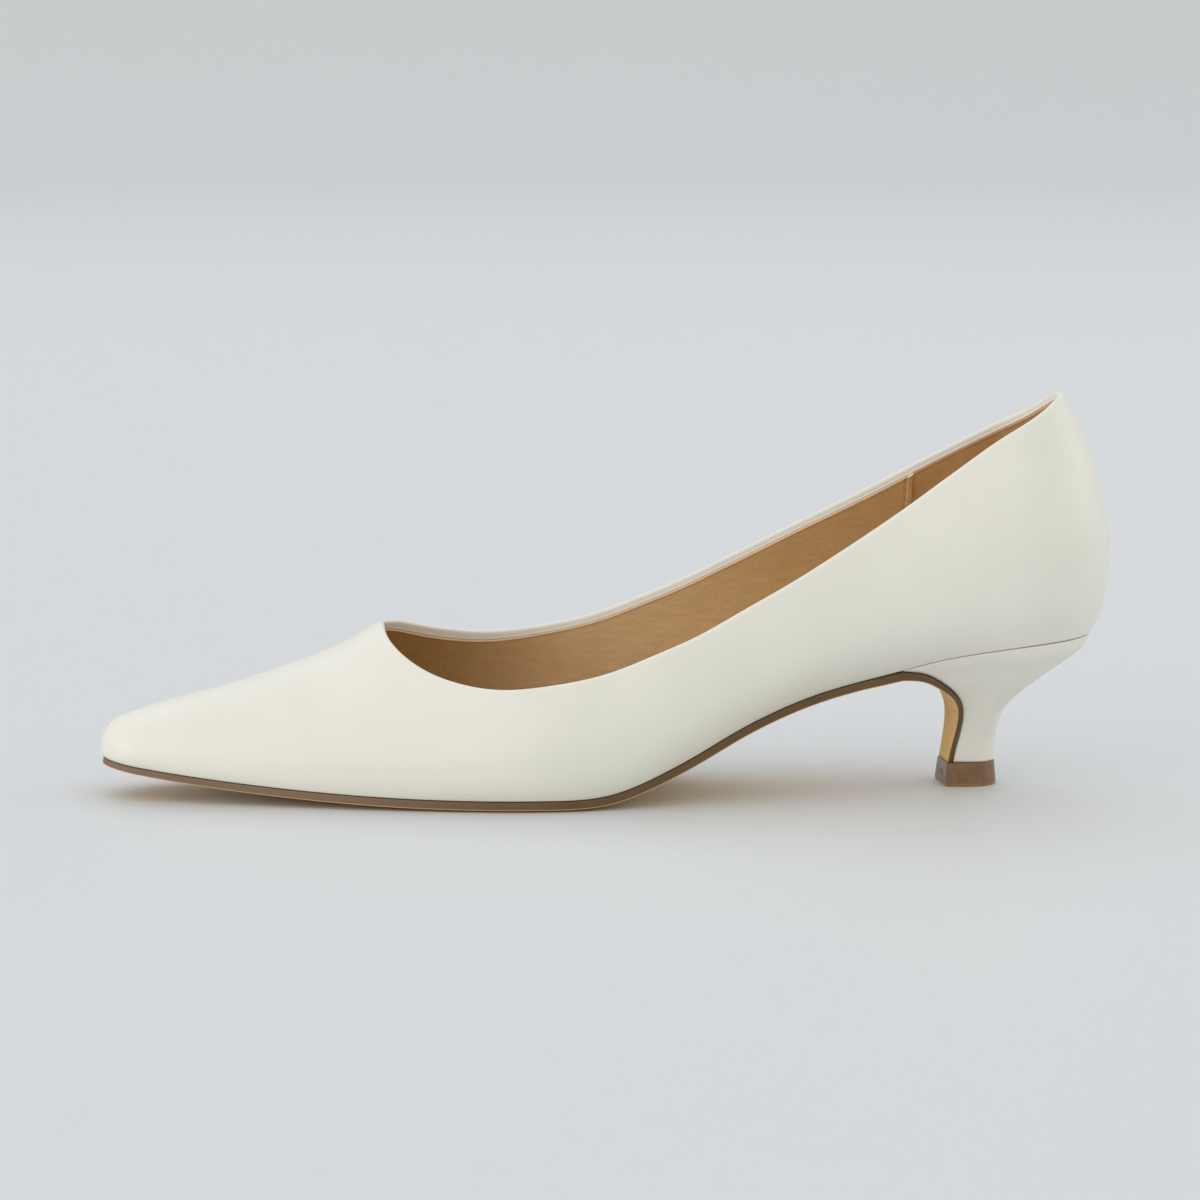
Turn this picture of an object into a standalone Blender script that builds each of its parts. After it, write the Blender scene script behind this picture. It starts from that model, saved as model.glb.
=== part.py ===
"""Kitten heel pump for the left foot, standing empty on its forefoot and its heel tip.

The toe points along -X, the outer side of the foot faces -Y and up is +Z, in metres. The floor is z = 0.
Shares along the shoe run from 0 at the toe tip to 1 at the back of the counter.
"""

import math

import bmesh
import bpy
import numpy as np

# Driving sizes
LENGTH = 0.250  # toe tip to the back of the counter
SOLE_WIDTH = 0.0714  # outsole across the ball
HEEL_HEIGHT = 0.0380  # floor to the back of the heel seat
TOE_SPRING = 0.0078  # rise of the sole at the toe tip
VAMP_HEIGHT = 0.0395  # sole to the ridge of the vamp at the throat
BACK_HEIGHT = 0.0598  # heel seat to the top of the counter
UPPER_WALL = 0.0018  # leather and lining together
SOLE_THICKNESS = 0.0021  # outsole under the foot
TOE_THICKNESS = 0.0016  # outsole at the toe tip
FLAP_THICKNESS = 0.0013  # outsole down the heel breast
SOLE_MARGIN = 0.0003  # outsole standing out past the upper and the heel
EDGE_LIFT = 0.0005  # outsole's edges above its flat middle, at the ball
INSOLE_THICKNESS = 0.0026
INSOLE_CLEARANCE = 0.0010  # insole to the inside of the upper
TIP_HEIGHT = 0.0058  # heel tip
TIP_LIP = 0.0002  # heel tip standing out past heel and flap
TIP_FLARE = 0.0014  # heel tip widening on each side down to the floor
TIP_RAKE = 0.0004  # heel tip widening at front and back
TIP_BEVEL = 0.0003  # heel tip's lower edge
SEAT_GAP = 0.0003  # between pieces that are glued together
HEEL_TURN = math.radians(3.5)  # heel breast turned to the outer side

# Places along the shoe, as shares of its length
THROAT = 0.2775
TOE_ZONE = 0.15
FAN_START = 0.225  # foot of the column that leans back to the throat's middle
FAN_END = 0.38  # back end of the columns that lean to the throat
FLAT_START = 0.40
FLAT_END = 0.45
SINK_START = 0.74  # the outsole sinks a gap below the feather line from here to the breast
BREAST = 0.784
HEEL_CENTRE = 0.890
FEATHER_BACK = 0.9815  # back end of the feather line
FLAP_START = 0.4  # share of the way down the breast where the outsole has thinned to the flap

# Rounding of the toe, as shares of the length
TOE_ROUND_PLAN = 0.036
TOE_ROUND_SIDE = 0.018
TOE_CORE = 0.026
SOLE_SETBACK = 0.0036

TUCK_POWER = 2.8  # how sharply the upper turns in under the foot below its widest line
ARCH_EASE = 0.3  # sine of the arch's angle below which it is an ellipse
FAN_POWER = 3  # how closely the tops of the fan's columns stand at the throat's middle
FAN_LEAN = 0.7  # how late a leaning column leans: 1 is a straight lean
SEAT_BLEND = 2.0  # how fast the heel's rings leave the seat's outline for their own

# Feather line, where the upper meets the sole: half widths as shares of SOLE_WIDTH
FEATHER = (
    # share, inner, outer
    (0.00, 0.134, 0.134),
    (0.03, 0.162, 0.162),
    (0.06, 0.203, 0.203),
    (0.10, 0.248, 0.248),
    (0.15, 0.301, 0.301),
    (0.20, 0.354, 0.353),
    (0.26, 0.416, 0.413),
    (0.32, 0.461, 0.461),
    (0.37, 0.468, 0.490),
    (0.42, 0.444, 0.506),
    (0.48, 0.377, 0.489),
    (0.54, 0.297, 0.438),
    (0.60, 0.241, 0.377),
    (0.66, 0.220, 0.329),
    (0.72, 0.225, 0.301),
    (0.78, 0.246, 0.290),
    (0.84, 0.279, 0.294),
    (0.89, 0.308, 0.308),
)

# Widest line of the upper, in the same shares
FULL = (
    # share, inner, outer
    (0.00, 0.146, 0.146),
    (0.03, 0.178, 0.178),
    (0.06, 0.219, 0.219),
    (0.10, 0.266, 0.266),
    (0.15, 0.322, 0.321),
    (0.20, 0.377, 0.374),
    (0.26, 0.441, 0.437),
    (0.32, 0.490, 0.492),
    (0.37, 0.508, 0.528),
    (0.42, 0.496, 0.543),
    (0.48, 0.453, 0.533),
    (0.54, 0.408, 0.498),
    (0.60, 0.379, 0.455),
    (0.66, 0.368, 0.423),
    (0.72, 0.370, 0.406),
    (0.78, 0.379, 0.400),
    (0.84, 0.389, 0.398),
    (0.89, 0.394, 0.397),
)

# Rise of the feather line over the forefoot, as a share of its rise at the back of the seat
SHANK = (
    # share, rise
    (0.45, 0.000),
    (0.475, 0.010),
    (0.50, 0.042),
    (0.54, 0.146),
    (0.58, 0.280),
    (0.62, 0.430),
    (0.66, 0.558),
    (0.70, 0.660),
    (0.74, 0.736),
    (0.784, 0.810),
    (0.82, 0.874),
    (0.86, 0.924),
    (0.90, 0.964),
    (0.94, 0.988),
    (0.98, 1.000),
)

# Sections of the upper: widest line above the feather line as a share of BACK_HEIGHT, crown above it as a share
# of VAMP_HEIGHT (behind the throat it is the last's instep, which the topline cuts), and the arch's power: 1 is
# an ellipse, and more is a narrower ridge
SECTIONS = (
    # share, widest, crown, arch
    (0.00, 0.042, 0.203, 1.00),
    (0.04, 0.058, 0.327, 1.00),
    (0.08, 0.072, 0.433, 1.05),
    (0.12, 0.084, 0.524, 1.11),
    (0.16, 0.096, 0.623, 1.18),
    (0.20, 0.107, 0.732, 1.26),
    (0.24, 0.119, 0.850, 1.34),
    (0.2775, 0.130, 1.000, 1.41),
    (0.33, 0.146, 1.175, 1.44),
    (0.40, 0.168, 1.385, 1.44),
    (0.50, 0.208, 1.585, 1.42),
    (0.60, 0.247, 1.695, 1.42),
    (0.70, 0.287, 1.752, 1.43),
    (0.80, 0.326, 1.782, 1.44),
    (0.90, 0.356, 1.796, 1.45),
    (1.00, 0.368, 1.800, 1.45),
)

# Topline above the feather line, as a share of a line that runs from VAMP_HEIGHT to BACK_HEIGHT
TOPLINE = (
    # share, inner, outer
    (0.2775, 1.000, 1.000),
    (0.285, 0.982, 0.910),
    (0.300, 0.951, 0.828),
    (0.320, 0.899, 0.755),
    (0.350, 0.840, 0.690),
    (0.390, 0.796, 0.650),
    (0.430, 0.796, 0.653),
    (0.480, 0.817, 0.670),
    (0.530, 0.809, 0.662),
    (0.580, 0.770, 0.626),
    (0.630, 0.734, 0.608),
    (0.680, 0.730, 0.622),
    (0.730, 0.752, 0.679),
    (0.780, 0.790, 0.756),
    (0.830, 0.832, 0.838),
    (0.880, 0.888, 0.928),
    (0.930, 0.940, 0.984),
    (0.970, 0.978, 1.001),
    (1.000, 1.000, 1.000),
)

# Heel rings from the seat down to the heel tip: places along the shoe as shares of LENGTH, heights as shares of
# the way up from the heel tip to the seat's front or back, and half widths as shares of SOLE_WIDTH
HEEL_RINGS = (
    # front, front_height, back, back_height, front_half, full_half
    (0.784, 1.000, 0.9815, 1.000, 0.270, 0.308),
    (0.803, 0.972, 0.9755, 0.900, 0.254, 0.286),
    (0.818, 0.905, 0.9615, 0.808, 0.232, 0.256),
    (0.8325, 0.800, 0.9425, 0.708, 0.204, 0.225),
    (0.843, 0.690, 0.9220, 0.592, 0.172, 0.190),
    (0.8485, 0.575, 0.9050, 0.483, 0.144, 0.158),
    (0.8500, 0.450, 0.8955, 0.380, 0.119, 0.130),
    (0.8485, 0.300, 0.8910, 0.262, 0.096, 0.105),
    (0.8455, 0.140, 0.8875, 0.125, 0.079, 0.087),
    (0.843, 0.000, 0.8870, 0.000, 0.070, 0.077),
)

IVORY = (0.84, 0.82, 0.74)
EDGE_BROWN = (0.16, 0.11, 0.07)
TAN = (0.55, 0.36, 0.20)
TIP_BROWN = (0.22, 0.13, 0.07)

MERGE = 2e-6  # points nearer than this are one
SLOPE_STEP = 0.005  # share of the length over which a slope is measured


def column(table, name_index):
    """One column of a table, as an array."""
    return np.array([row[name_index] for row in table])


def batten(at, values):
    """A natural cubic spline through the points, as a function; it stays level past its ends."""
    step = np.diff(at)
    slope = np.diff(values) / step
    size = len(at)
    system = np.eye(size)
    right = np.zeros(size)
    for i in range(1, size - 1):
        system[i, i - 1 : i + 2] = step[i - 1], 2 * (step[i - 1] + step[i]), step[i]
        right[i] = 6 * (slope[i] - slope[i - 1])
    bend = np.linalg.solve(system, right)

    def curve(x):
        x = np.clip(x, at[0], at[-1])
        i = np.clip(np.searchsorted(at, x, side="right") - 1, 0, size - 2)
        a = (at[i + 1] - x) / step[i]
        b = (x - at[i]) / step[i]
        chord = a * values[i] + b * values[i + 1]
        return chord + ((a**3 - a) * bend[i] + (b**3 - b) * bend[i + 1]) * step[i] ** 2 / 6

    return curve


feather = (
    batten(column(FEATHER, 0), column(FEATHER, 1) * SOLE_WIDTH),
    batten(column(FEATHER, 0), column(FEATHER, 2) * SOLE_WIDTH),
)
full = (
    batten(column(FULL, 0), column(FULL, 1) * SOLE_WIDTH),
    batten(column(FULL, 0), column(FULL, 2) * SOLE_WIDTH),
)
shank_rise = batten(column(SHANK, 0), column(SHANK, 1) * (HEEL_HEIGHT - SOLE_THICKNESS))
widest_height = batten(column(SECTIONS, 0), column(SECTIONS, 1) * BACK_HEIGHT)
crown_height = batten(column(SECTIONS, 0), column(SECTIONS, 2) * VAMP_HEIGHT)
arch_power = batten(column(SECTIONS, 0), column(SECTIONS, 3))


def throat_run(share):
    """Share of the way from the throat to the back, stretched near the throat, where the topline is blunt."""
    return np.sqrt(np.clip((share - THROAT) / (1 - THROAT), 0, 1))


topline = (
    batten(throat_run(column(TOPLINE, 0)), column(TOPLINE, 1)),
    batten(throat_run(column(TOPLINE, 0)), column(TOPLINE, 2)),
)


def place(share):
    """The x of a share of the length."""
    return (share - 0.5) * LENGTH


def share_of(x):
    return x / LENGTH + 0.5


def of_side(pair, side, share):
    """The value of the inner (+1) or the outer (-1) curve of a pair."""
    return pair[0](share) if side > 0 else pair[1](share)


def round_end(distance, radius):
    """How far a rounded end has opened at a distance behind its tip: 0 at the tip, 1 from the radius on."""
    d = np.clip(distance / radius, 0, 1)
    return np.sqrt(d * (2 - d))


def half_width(share, side, pair):
    """Half width of an outline on one side, rounded at the toe."""
    return of_side(pair, side, share) * round_end(share, TOE_ROUND_PLAN)


def spine(share):
    """The middle line of the upper in plan, as a y."""
    return (full[0](share) - full[1](share)) / 2 * round_end(share, TOE_ROUND_PLAN)


def edge_lift(y):
    """How far the sole's edge stands above its middle, which is flat over half of its width."""
    outside = np.clip(np.abs(2 * y / SOLE_WIDTH) - 0.5, 0, 1)
    return EDGE_LIFT * (2 * outside) ** 2


def sole_rise(share):
    """Height of the sole's underside: toe spring, a flat under the ball, and the shank up to the seat."""
    toe = np.clip((FLAT_START - share) / FLAT_START, 0, 1)
    return TOE_SPRING * toe**2 + shank_rise(share)


def sole_thickness(share):
    """Thickness of the outsole, which thins from the ball to the toe tip."""
    toe = np.clip((FLAT_START - share) / FLAT_START, 0, 1)
    return SOLE_THICKNESS + (TOE_THICKNESS - SOLE_THICKNESS) * toe**2


def feather_height(share, y):
    """Height of the sole's upper face and, behind the breast, of the heel seat."""
    return sole_thickness(share) + sole_rise(share) + edge_lift(y)


def arch(part, power):
    """Height of an arch, as a share of its crown, where its sine is part: upright at the foot of the arch."""
    eased = (part**2 + ARCH_EASE**2) / (1 + ARCH_EASE**2)
    return part * eased ** ((power - 1) / 2)


def arch_angle(height, power):
    """Angle up the arch, from 0 at its foot to a quarter turn at its crown, where it reaches a height."""
    part = np.linspace(0, 1, 201)
    return math.asin(np.interp(height, arch(part, power), part))


def topline_height(share, side):
    """Height of the topline above the feather line."""
    along = np.clip((share - THROAT) / (1 - THROAT), 0, 1)
    reference = VAMP_HEIGHT * (1 - along) + BACK_HEIGHT * along
    return reference * of_side(topline, side, throat_run(share))


def side_stations():
    """Shares of the columns' feet from the toe tip to the heel's centre, close together at the tip."""
    toe = TOE_ZONE * (np.arange(10) / 10) ** 2
    vamp = np.linspace(TOE_ZONE, FAN_START, 5, endpoint=False)
    fan = np.linspace(FAN_START, FAN_END, 12, endpoint=False)
    quarter = np.linspace(FAN_END, HEEL_CENTRE, 14, endpoint=False)
    return np.concatenate([toe, vamp, fan, quarter])


def topline_share(share):
    """Share where a column meets the ridge or the topline: a fan of columns meets the throat's curve."""
    if share < FAN_START:
        vamp = (share - TOE_ZONE) / (FAN_START - TOE_ZONE)
        return share + max(vamp, 0) * (THROAT - FAN_START)
    run = (share - FAN_START) / (FAN_END - FAN_START)
    return THROAT + (FAN_END - THROAT) * run**FAN_POWER if run < 1 else share


def back_turns():
    """Angles of the columns round the heel, from beside its centre to straight behind it."""
    return np.linspace(0, math.pi / 2, 10)[1:]


def lean(share):
    """How much a column belongs to the toe's fan: 1 at the tip, 0 behind the toe zone."""
    return np.clip(1 - share / TOE_ZONE, 0, 1) ** 2


def turned_point(turn, side, pair, back_end):
    """A point of an outline round the heel: a quarter ellipse about the heel's centre."""
    half = half_width(HEEL_CENTRE, side, pair)
    reach = place(back_end) - place(HEEL_CENTRE)
    middle = spine(HEEL_CENTRE)
    return np.array(
        [
            place(HEEL_CENTRE) + reach * math.sin(turn),
            middle + (side * half - middle) * math.cos(turn),
        ]
    )


def feather_point(share, turn, side):
    """A plan point of the feather line: at a share of the length or, where turn isn't 0, round the heel."""
    if turn > 0:
        return turned_point(turn, side, feather, FEATHER_BACK)
    setback = SOLE_SETBACK * lean(share)
    return np.array([place(share + setback), side * half_width(share, side, feather)])


def full_point(share, turn, side):
    """A plan point of the upper's widest line."""
    if turn > 0:
        return turned_point(turn, side, full, 1.0)
    return np.array([place(share), side * half_width(share, side, full)])


def crown_rise(share, y):
    """Height of the toe's crown above its widest line at a plan point."""
    half = (full[0](share) + full[1](share)) / 2 * round_end(share, TOE_ROUND_PLAN)
    across = np.abs(y - spine(share)) / max(half, 1e-9)
    rise = (crown_height(share) - widest_height(share)) * round_end(share, TOE_ROUND_SIDE)
    return rise * arch(np.sqrt(np.clip(1 - across**2, 0, 1)), arch_power(share))


def topline_angle(share, side):
    """Angle up the arch, from 0 at the widest line to a quarter turn at the ridge, where the topline cuts it."""
    wanted = topline_height(share, side) - widest_height(share)
    return arch_angle(wanted / (crown_height(share) - widest_height(share)), arch_power(share))


def upper_column(share, turn, side, rows_low, rows_high):
    """Points of the upper's outer face in one column, from the feather line up to the topline or the ridge.

    In front of the heel's centre a column stands at its share, but the toe's columns lean back to a core on the
    ridge, and those beside the throat lean to meet the topline. Behind it a column is turned about the centre.
    """
    wide = full_point(share, turn, side)
    seam = feather_point(share, turn, side)
    here = HEEL_CENTRE + (1 - HEEL_CENTRE) * math.sin(turn) if turn > 0 else share
    core_share = HEEL_CENTRE if turn > 0 else share + TOE_CORE * lean(share)
    core = np.array([place(core_share), spine(core_share)])
    seam_height = feather_height(share_of(seam[0]), seam[1]) + SEAT_GAP
    wide_height = feather_height(here, 0) + widest_height(here)
    below = [
        (*(wide + (seam - wide) * v**TUCK_POWER), wide_height + (seam_height - wide_height) * v)
        for v in np.cos(np.linspace(0, math.pi / 2, rows_low + 1))[:-1]
    ]
    top_share = topline_share(here)
    top_angle = topline_angle(top_share, side) if top_share > THROAT else math.pi / 2
    above = []
    for run in np.linspace(0, 1, rows_high + 1):
        angle = top_angle * run
        at = top_share + (here - top_share) * (1 - run) ** FAN_LEAN
        if top_share != here:
            wide = full_point(at, turn, side)
            core = np.array([place(at), spine(at)])
        plan = core + (wide - core) * math.cos(angle)
        if turn == 0 and share < TOE_ZONE:
            at = share_of(plan[0])
            rise = crown_rise(at, plan[1])
        else:
            rise = (crown_height(at) - widest_height(at)) * arch(math.sin(angle), arch_power(at))
        above.append((*plan, feather_height(at, 0) + widest_height(at) + rise))
    return np.array(below + above)


def upper_grid(rows_low=6, rows_high=9):
    """Columns of the upper from the toe tip along the outer side, round the back and along the inner side."""
    stations = [(s, 0) for s in side_stations()] + [(HEEL_CENTRE, 0)]
    stations += [(HEEL_CENTRE, turn) for turn in back_turns()]
    outer, inner = (
        [upper_column(share, turn, side, rows_low, rows_high) for share, turn in stations]
        for side in (-1, 1)
    )
    return outer + inner[1:-1][::-1]


def new_object(name, bm, colour, roughness, parent):
    """A named object with its own material, from a bmesh."""
    mesh = bpy.data.meshes.new(name)
    bm.to_mesh(mesh)
    bm.free()
    mesh.shade_smooth()
    mesh.set_sharp_from_angle(angle=math.radians(40))
    piece = bpy.data.objects.new(name, mesh)
    bpy.context.scene.collection.objects.link(piece)
    piece.parent = parent
    material = bpy.data.materials.new(name)
    material.use_nodes = True
    shader = material.node_tree.nodes["Principled BSDF"]
    shader.inputs["Base Color"].default_value = (*colour, 1)
    shader.inputs["Roughness"].default_value = roughness
    mesh.materials.append(material)
    return piece


def faces_between(bm, first, second, closed):
    """Quads between two rows of vertices."""
    count = len(first)
    for i in range(count if closed else count - 1):
        j = (i + 1) % count
        corners = []
        for corner in (first[i], first[j], second[j], second[i]):
            if corner not in corners:
                corners.append(corner)
        if len(corners) > 2:
            bm.faces.new(corners)


def merge_and_face_out(bm):
    """Merges points that lie on each other and turns the faces outwards."""
    bmesh.ops.remove_doubles(bm, verts=bm.verts, dist=MERGE)
    bmesh.ops.recalc_face_normals(bm, faces=bm.faces)
    if bm.calc_volume(signed=True) < 0:
        bmesh.ops.reverse_faces(bm, faces=bm.faces)


def ring_solid(rings):
    """A closed solid from a stack of rings, whose first half runs back on the outer side and the rest forward."""
    bm = bmesh.new()
    rows = [[bm.verts.new(p) for p in ring] for ring in rings]
    for low, high in zip(rows, rows[1:]):
        faces_between(bm, low, high, closed=True)
    for row in (rows[0], rows[-1]):
        back = len(row) // 2
        faces_between(bm, row[: back + 1], row[back:][::-1], closed=False)
    merge_and_face_out(bm)
    return bm


def slab_solid(top, under):
    """A closed solid between two grids of the same size, with walls along all four borders."""
    bm = bmesh.new()
    over, low = ([[bm.verts.new(p) for p in row] for row in grid] for grid in (top, under))
    for rows in (over, low):
        for a, b in zip(rows, rows[1:]):
            faces_between(bm, a, b, closed=False)
    faces_between(bm, over[0], low[0], closed=False)
    faces_between(bm, over[-1], low[-1], closed=False)
    for end in (0, -1):
        faces_between(bm, [row[end] for row in over], [row[end] for row in low], closed=False)
    merge_and_face_out(bm)
    return bm


def offset_path(path, distance):
    """A plan path that runs clockwise seen from above, moved outwards; the distance may vary along it."""
    along = np.gradient(path, axis=0)
    along /= np.linalg.norm(along, axis=1)[:, None]
    outwards = np.stack([along[:, 1], -along[:, 0]], axis=1)
    return path + outwards * np.reshape(distance, (-1, 1))


def outline_rows(stations, grow):
    """Pairs of outer and inner plan points of the feather line, from the toe back, moved out by grow."""
    outer, inner = (
        np.array([feather_point(share, turn, side) for share, turn in stations]) for side in (-1, 1)
    )
    path = np.concatenate([inner[:0:-1], outer])
    grow = np.broadcast_to(grow, (len(stations), 2))
    amounts = np.concatenate([grow[:0:-1, 1], grow[:, 0]])
    moved = offset_path(path, amounts)
    count = len(stations)
    return moved[count - 1 :], moved[: count][::-1]


def plate_rows(outer, inner, across):
    """Rows of plan points from the outer to the inner side of a plate."""
    share = np.linspace(0, 1, across + 1)[None, :, None]
    return outer[:, None] * (1 - share) + inner[:, None] * share


def on_sole(plan, lift):
    """Plan points lifted onto the sole's upper face."""
    height = feather_height(share_of(plan[..., 0]), plan[..., 1]) + lift
    return np.concatenate([plan, height[..., None]], axis=-1)


def heel_middle(share):
    """The heel's own middle line in plan, which the feather line sets at the seat."""
    return (feather[0](share) - feather[1](share)) / 2


def ring_column(levels, index):
    even = np.linspace(0, 1, len(HEEL_RINGS))
    return batten(even, column(HEEL_RINGS, index))(levels)


def turned_breast(y, levels):
    """How far a point of the heel lies towards the heel's back because its breast is turned."""
    return -(y - heel_middle(HEEL_CENTRE)) * math.tan(HEEL_TURN) * levels


def make_upper(root):
    """The upper: one wall, open at the topline and underneath."""
    bm = bmesh.new()
    columns = [[bm.verts.new(p) for p in points] for points in upper_grid()]
    for i, here in enumerate(columns):
        faces_between(bm, here, columns[(i + 1) % len(columns)], closed=False)
    merge_and_face_out(bm)
    piece = new_object("upper", bm, IVORY, 0.45, root)
    wall = piece.modifiers.new("wall", "SOLIDIFY")
    wall.thickness = UPPER_WALL
    wall.offset = -1
    wall.use_even_offset = True


def breast_path(levels):
    """The heel's front edge, seat to heel tip: x, height and half width at each level."""
    bottom = TIP_HEIGHT + SEAT_GAP
    top = feather_height(BREAST, 0)
    height = bottom + (top - bottom) * ring_column(levels, 1)
    return place(ring_column(levels, 0)), height, ring_column(levels, 4) * SOLE_WIDTH


def make_outsole(root):
    """The outsole: a sheet under the foot that turns down the heel's breast to the heel tip."""
    shares = np.concatenate([side_stations(), [FLAT_START, FLAT_END, BREAST]])
    shares = np.unique(shares[shares <= BREAST])
    outer, inner = outline_rows([(s, 0) for s in shares], SOLE_MARGIN)
    across = 8
    ground = plate_rows(outer, inner, across)
    top = on_sole(ground, 0)
    levels = np.linspace(0, 1, 19)[1:]
    x, height, half = breast_path(levels)
    middle = heel_middle(BREAST) + (heel_middle(HEEL_CENTRE) - heel_middle(BREAST)) * levels
    side = np.linspace(-1, 1, across + 1)[None]
    y = middle[:, None] + side * (half[:, None] + SOLE_MARGIN)
    flap = np.stack(
        [x[:, None] + turned_breast(y, levels[:, None]), y, np.broadcast_to(height[:, None], y.shape)],
        axis=-1,
    )
    face = np.concatenate([top, flap])
    middle_line = face[:, across // 2, ::2]
    along = np.gradient(middle_line, axis=0)
    along /= np.linalg.norm(along, axis=1)[:, None]
    down = np.stack([along[:, 1], np.zeros(len(along)), -along[:, 0]], axis=1)
    run = np.concatenate([np.zeros(len(top)), levels])
    seated = np.concatenate([(shares - SINK_START) / (BREAST - SINK_START), np.ones(len(levels))])
    gap = SEAT_GAP * np.clip(seated, 0, 1)
    foot = np.concatenate([sole_thickness(shares), np.full(len(levels), SOLE_THICKNESS)])
    thick = foot + (FLAP_THICKNESS - foot) * np.clip(run / FLAP_START, 0, 1)
    over = face + (down * gap[:, None])[:, None]
    under = face + (down * (gap + thick)[:, None])[:, None]
    floor = TIP_HEIGHT + SEAT_GAP
    over[-1, :, 2] = floor
    under[-1, :, 2] = floor
    new_object("outsole", slab_solid(over, under), EDGE_BROWN, 0.4, root)


def make_insole(root):
    """The insole: a plate that fills the upper's inside on top of the sole and the heel seat."""
    stations = [(s, 0) for s in side_stations()] + [(HEEL_CENTRE, 0)]
    stations += [(HEEL_CENTRE, turn) for turn in back_turns()]
    plates = []
    for lift in (SEAT_GAP + INSOLE_THICKNESS, SEAT_GAP):
        grow = np.array([[-wall_inset(s, t, side, lift) for side in (-1, 1)] for s, t in stations])
        outer, inner = outline_rows(stations, grow)
        plates.append(on_sole(plate_rows(outer, inner, 6), lift))
    new_object("insole", slab_solid(*plates), TAN, 0.6, root)


def wall_inset(share, turn, side, lift):
    """How far inside the feather line the upper's inner face lies at a height above it, with clearance."""
    wide = full_point(share, turn, side)
    seam = feather_point(share, turn, side)
    here = HEEL_CENTRE + (1 - HEEL_CENTRE) * math.sin(turn) if turn > 0 else share
    tuck = np.linalg.norm(wide - seam)
    rest = max(0.0, 1 - lift / widest_height(here))
    shank = (sole_rise(here + SLOPE_STEP) - sole_rise(here - SLOPE_STEP)) / (2 * SLOPE_STEP * LENGTH)
    slope = tuck * TUCK_POWER * rest ** (TUCK_POWER - 1) / widest_height(here) * math.hypot(1, shank)
    opened = tuck * (1 - rest**TUCK_POWER)
    return UPPER_WALL * math.hypot(1, slope) + INSOLE_CLEARANCE - opened


def d_half(run, front_half, full_half):
    """Half width of a D at shares from its flat front to its round back: it swells to the middle, then rounds off."""
    swelling = front_half + (full_half - front_half) * np.sin(np.pi * np.clip(run, 0, 0.5))
    rounding = full_half * np.sqrt(np.clip(1 - (2 * run - 1) ** 2, 0, 1))
    return np.where(run < 0.5, swelling, rounding)


def seat_half(x, side):
    """Half width of the feather line round the heel seat."""
    straight = half_width(share_of(x), side, feather)
    behind = np.clip((x - place(HEEL_CENTRE)) / (place(FEATHER_BACK) - place(HEEL_CENTRE)), 0, 1)
    rounded = half_width(HEEL_CENTRE, side, feather) * np.sqrt(1 - behind**2)
    return np.where(x < place(HEEL_CENTRE), straight, rounded)


def heel_ring(level, run):
    """One ring of the heel at a level from 0, the seat, to 1, the heel tip."""
    levels = np.array([level])
    front_x, front_z, front_half = (value[0] for value in breast_path(levels))
    back_x = place(ring_column(levels, 2))[0]
    bottom = TIP_HEIGHT + SEAT_GAP
    back_z = bottom + (feather_height(FEATHER_BACK, 0) - bottom) * ring_column(levels, 3)[0]
    full_half = ring_column(levels, 5)[0] * SOLE_WIDTH
    seat_x = place(BREAST) + run * (place(FEATHER_BACK) - place(BREAST))
    seat_z = feather_height(share_of(seat_x), 0)
    slope = (seat_z - seat_z[0]) / (seat_z[-1] - seat_z[0])
    x = front_x + run * (back_x - front_x)
    z = front_z + slope * (back_z - front_z)
    seat_d = d_half(run, HEEL_RINGS[0][4] * SOLE_WIDTH, HEEL_RINGS[0][5] * SOLE_WIDTH)
    to_seat = (1 - level) ** SEAT_BLEND
    halves = []
    for side in (-1, 1):
        correction = seat_half(seat_x, side) - seat_d
        y = side * (d_half(run, front_half, full_half) + correction * to_seat)
        shift = turned_breast(y, level) * (1 - run)
        halves.append(np.stack([x + shift, y, z + edge_lift(y) * to_seat], axis=1))
    outer, inner = halves
    return np.concatenate([outer, inner[:-1][::-1]])


def make_heel(root):
    """The heel block, from the seat down to the heel tip."""
    run = np.sin(np.linspace(0, math.pi / 2, 15))
    rings = [heel_ring(level, run) for level in np.linspace(0, 1, 25)]
    new_object("heel", ring_solid(rings), IVORY, 0.45, root)


def make_heel_tip(root):
    """The heel tip: a plug under the heel and the outsole's flap that widens down to the floor."""
    run = np.sin(np.linspace(0, math.pi / 2, 11))
    front = place(HEEL_RINGS[-1][0]) - SEAT_GAP - FLAP_THICKNESS - TIP_LIP
    back = place(HEEL_RINGS[-1][2]) + TIP_LIP
    rings = []
    for height, share in ((TIP_HEIGHT, 0), (TIP_HEIGHT / 2, 0.5), (TIP_BEVEL, 1), (0, 1)):
        inset = TIP_BEVEL if height == 0 else 0
        front_half = HEEL_RINGS[-1][4] * SOLE_WIDTH + TIP_LIP + SOLE_MARGIN + TIP_FLARE * share - inset
        full_half = HEEL_RINGS[-1][5] * SOLE_WIDTH + TIP_LIP + SOLE_MARGIN + TIP_FLARE * share - inset
        x = (front - TIP_RAKE * share + inset) * (1 - run) + (back + TIP_RAKE * share - inset) * run
        halves = []
        for side in (-1, 1):
            y = side * d_half(run, front_half, full_half)
            halves.append(np.stack([x + turned_breast(y, 1) * (1 - run), y, np.full(len(y), height)], axis=1))
        outer, inner = halves
        rings.append(np.concatenate([outer, inner[:-1][::-1]]))
    new_object("heel_tip", ring_solid(rings), TIP_BROWN, 0.3, root)


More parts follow.
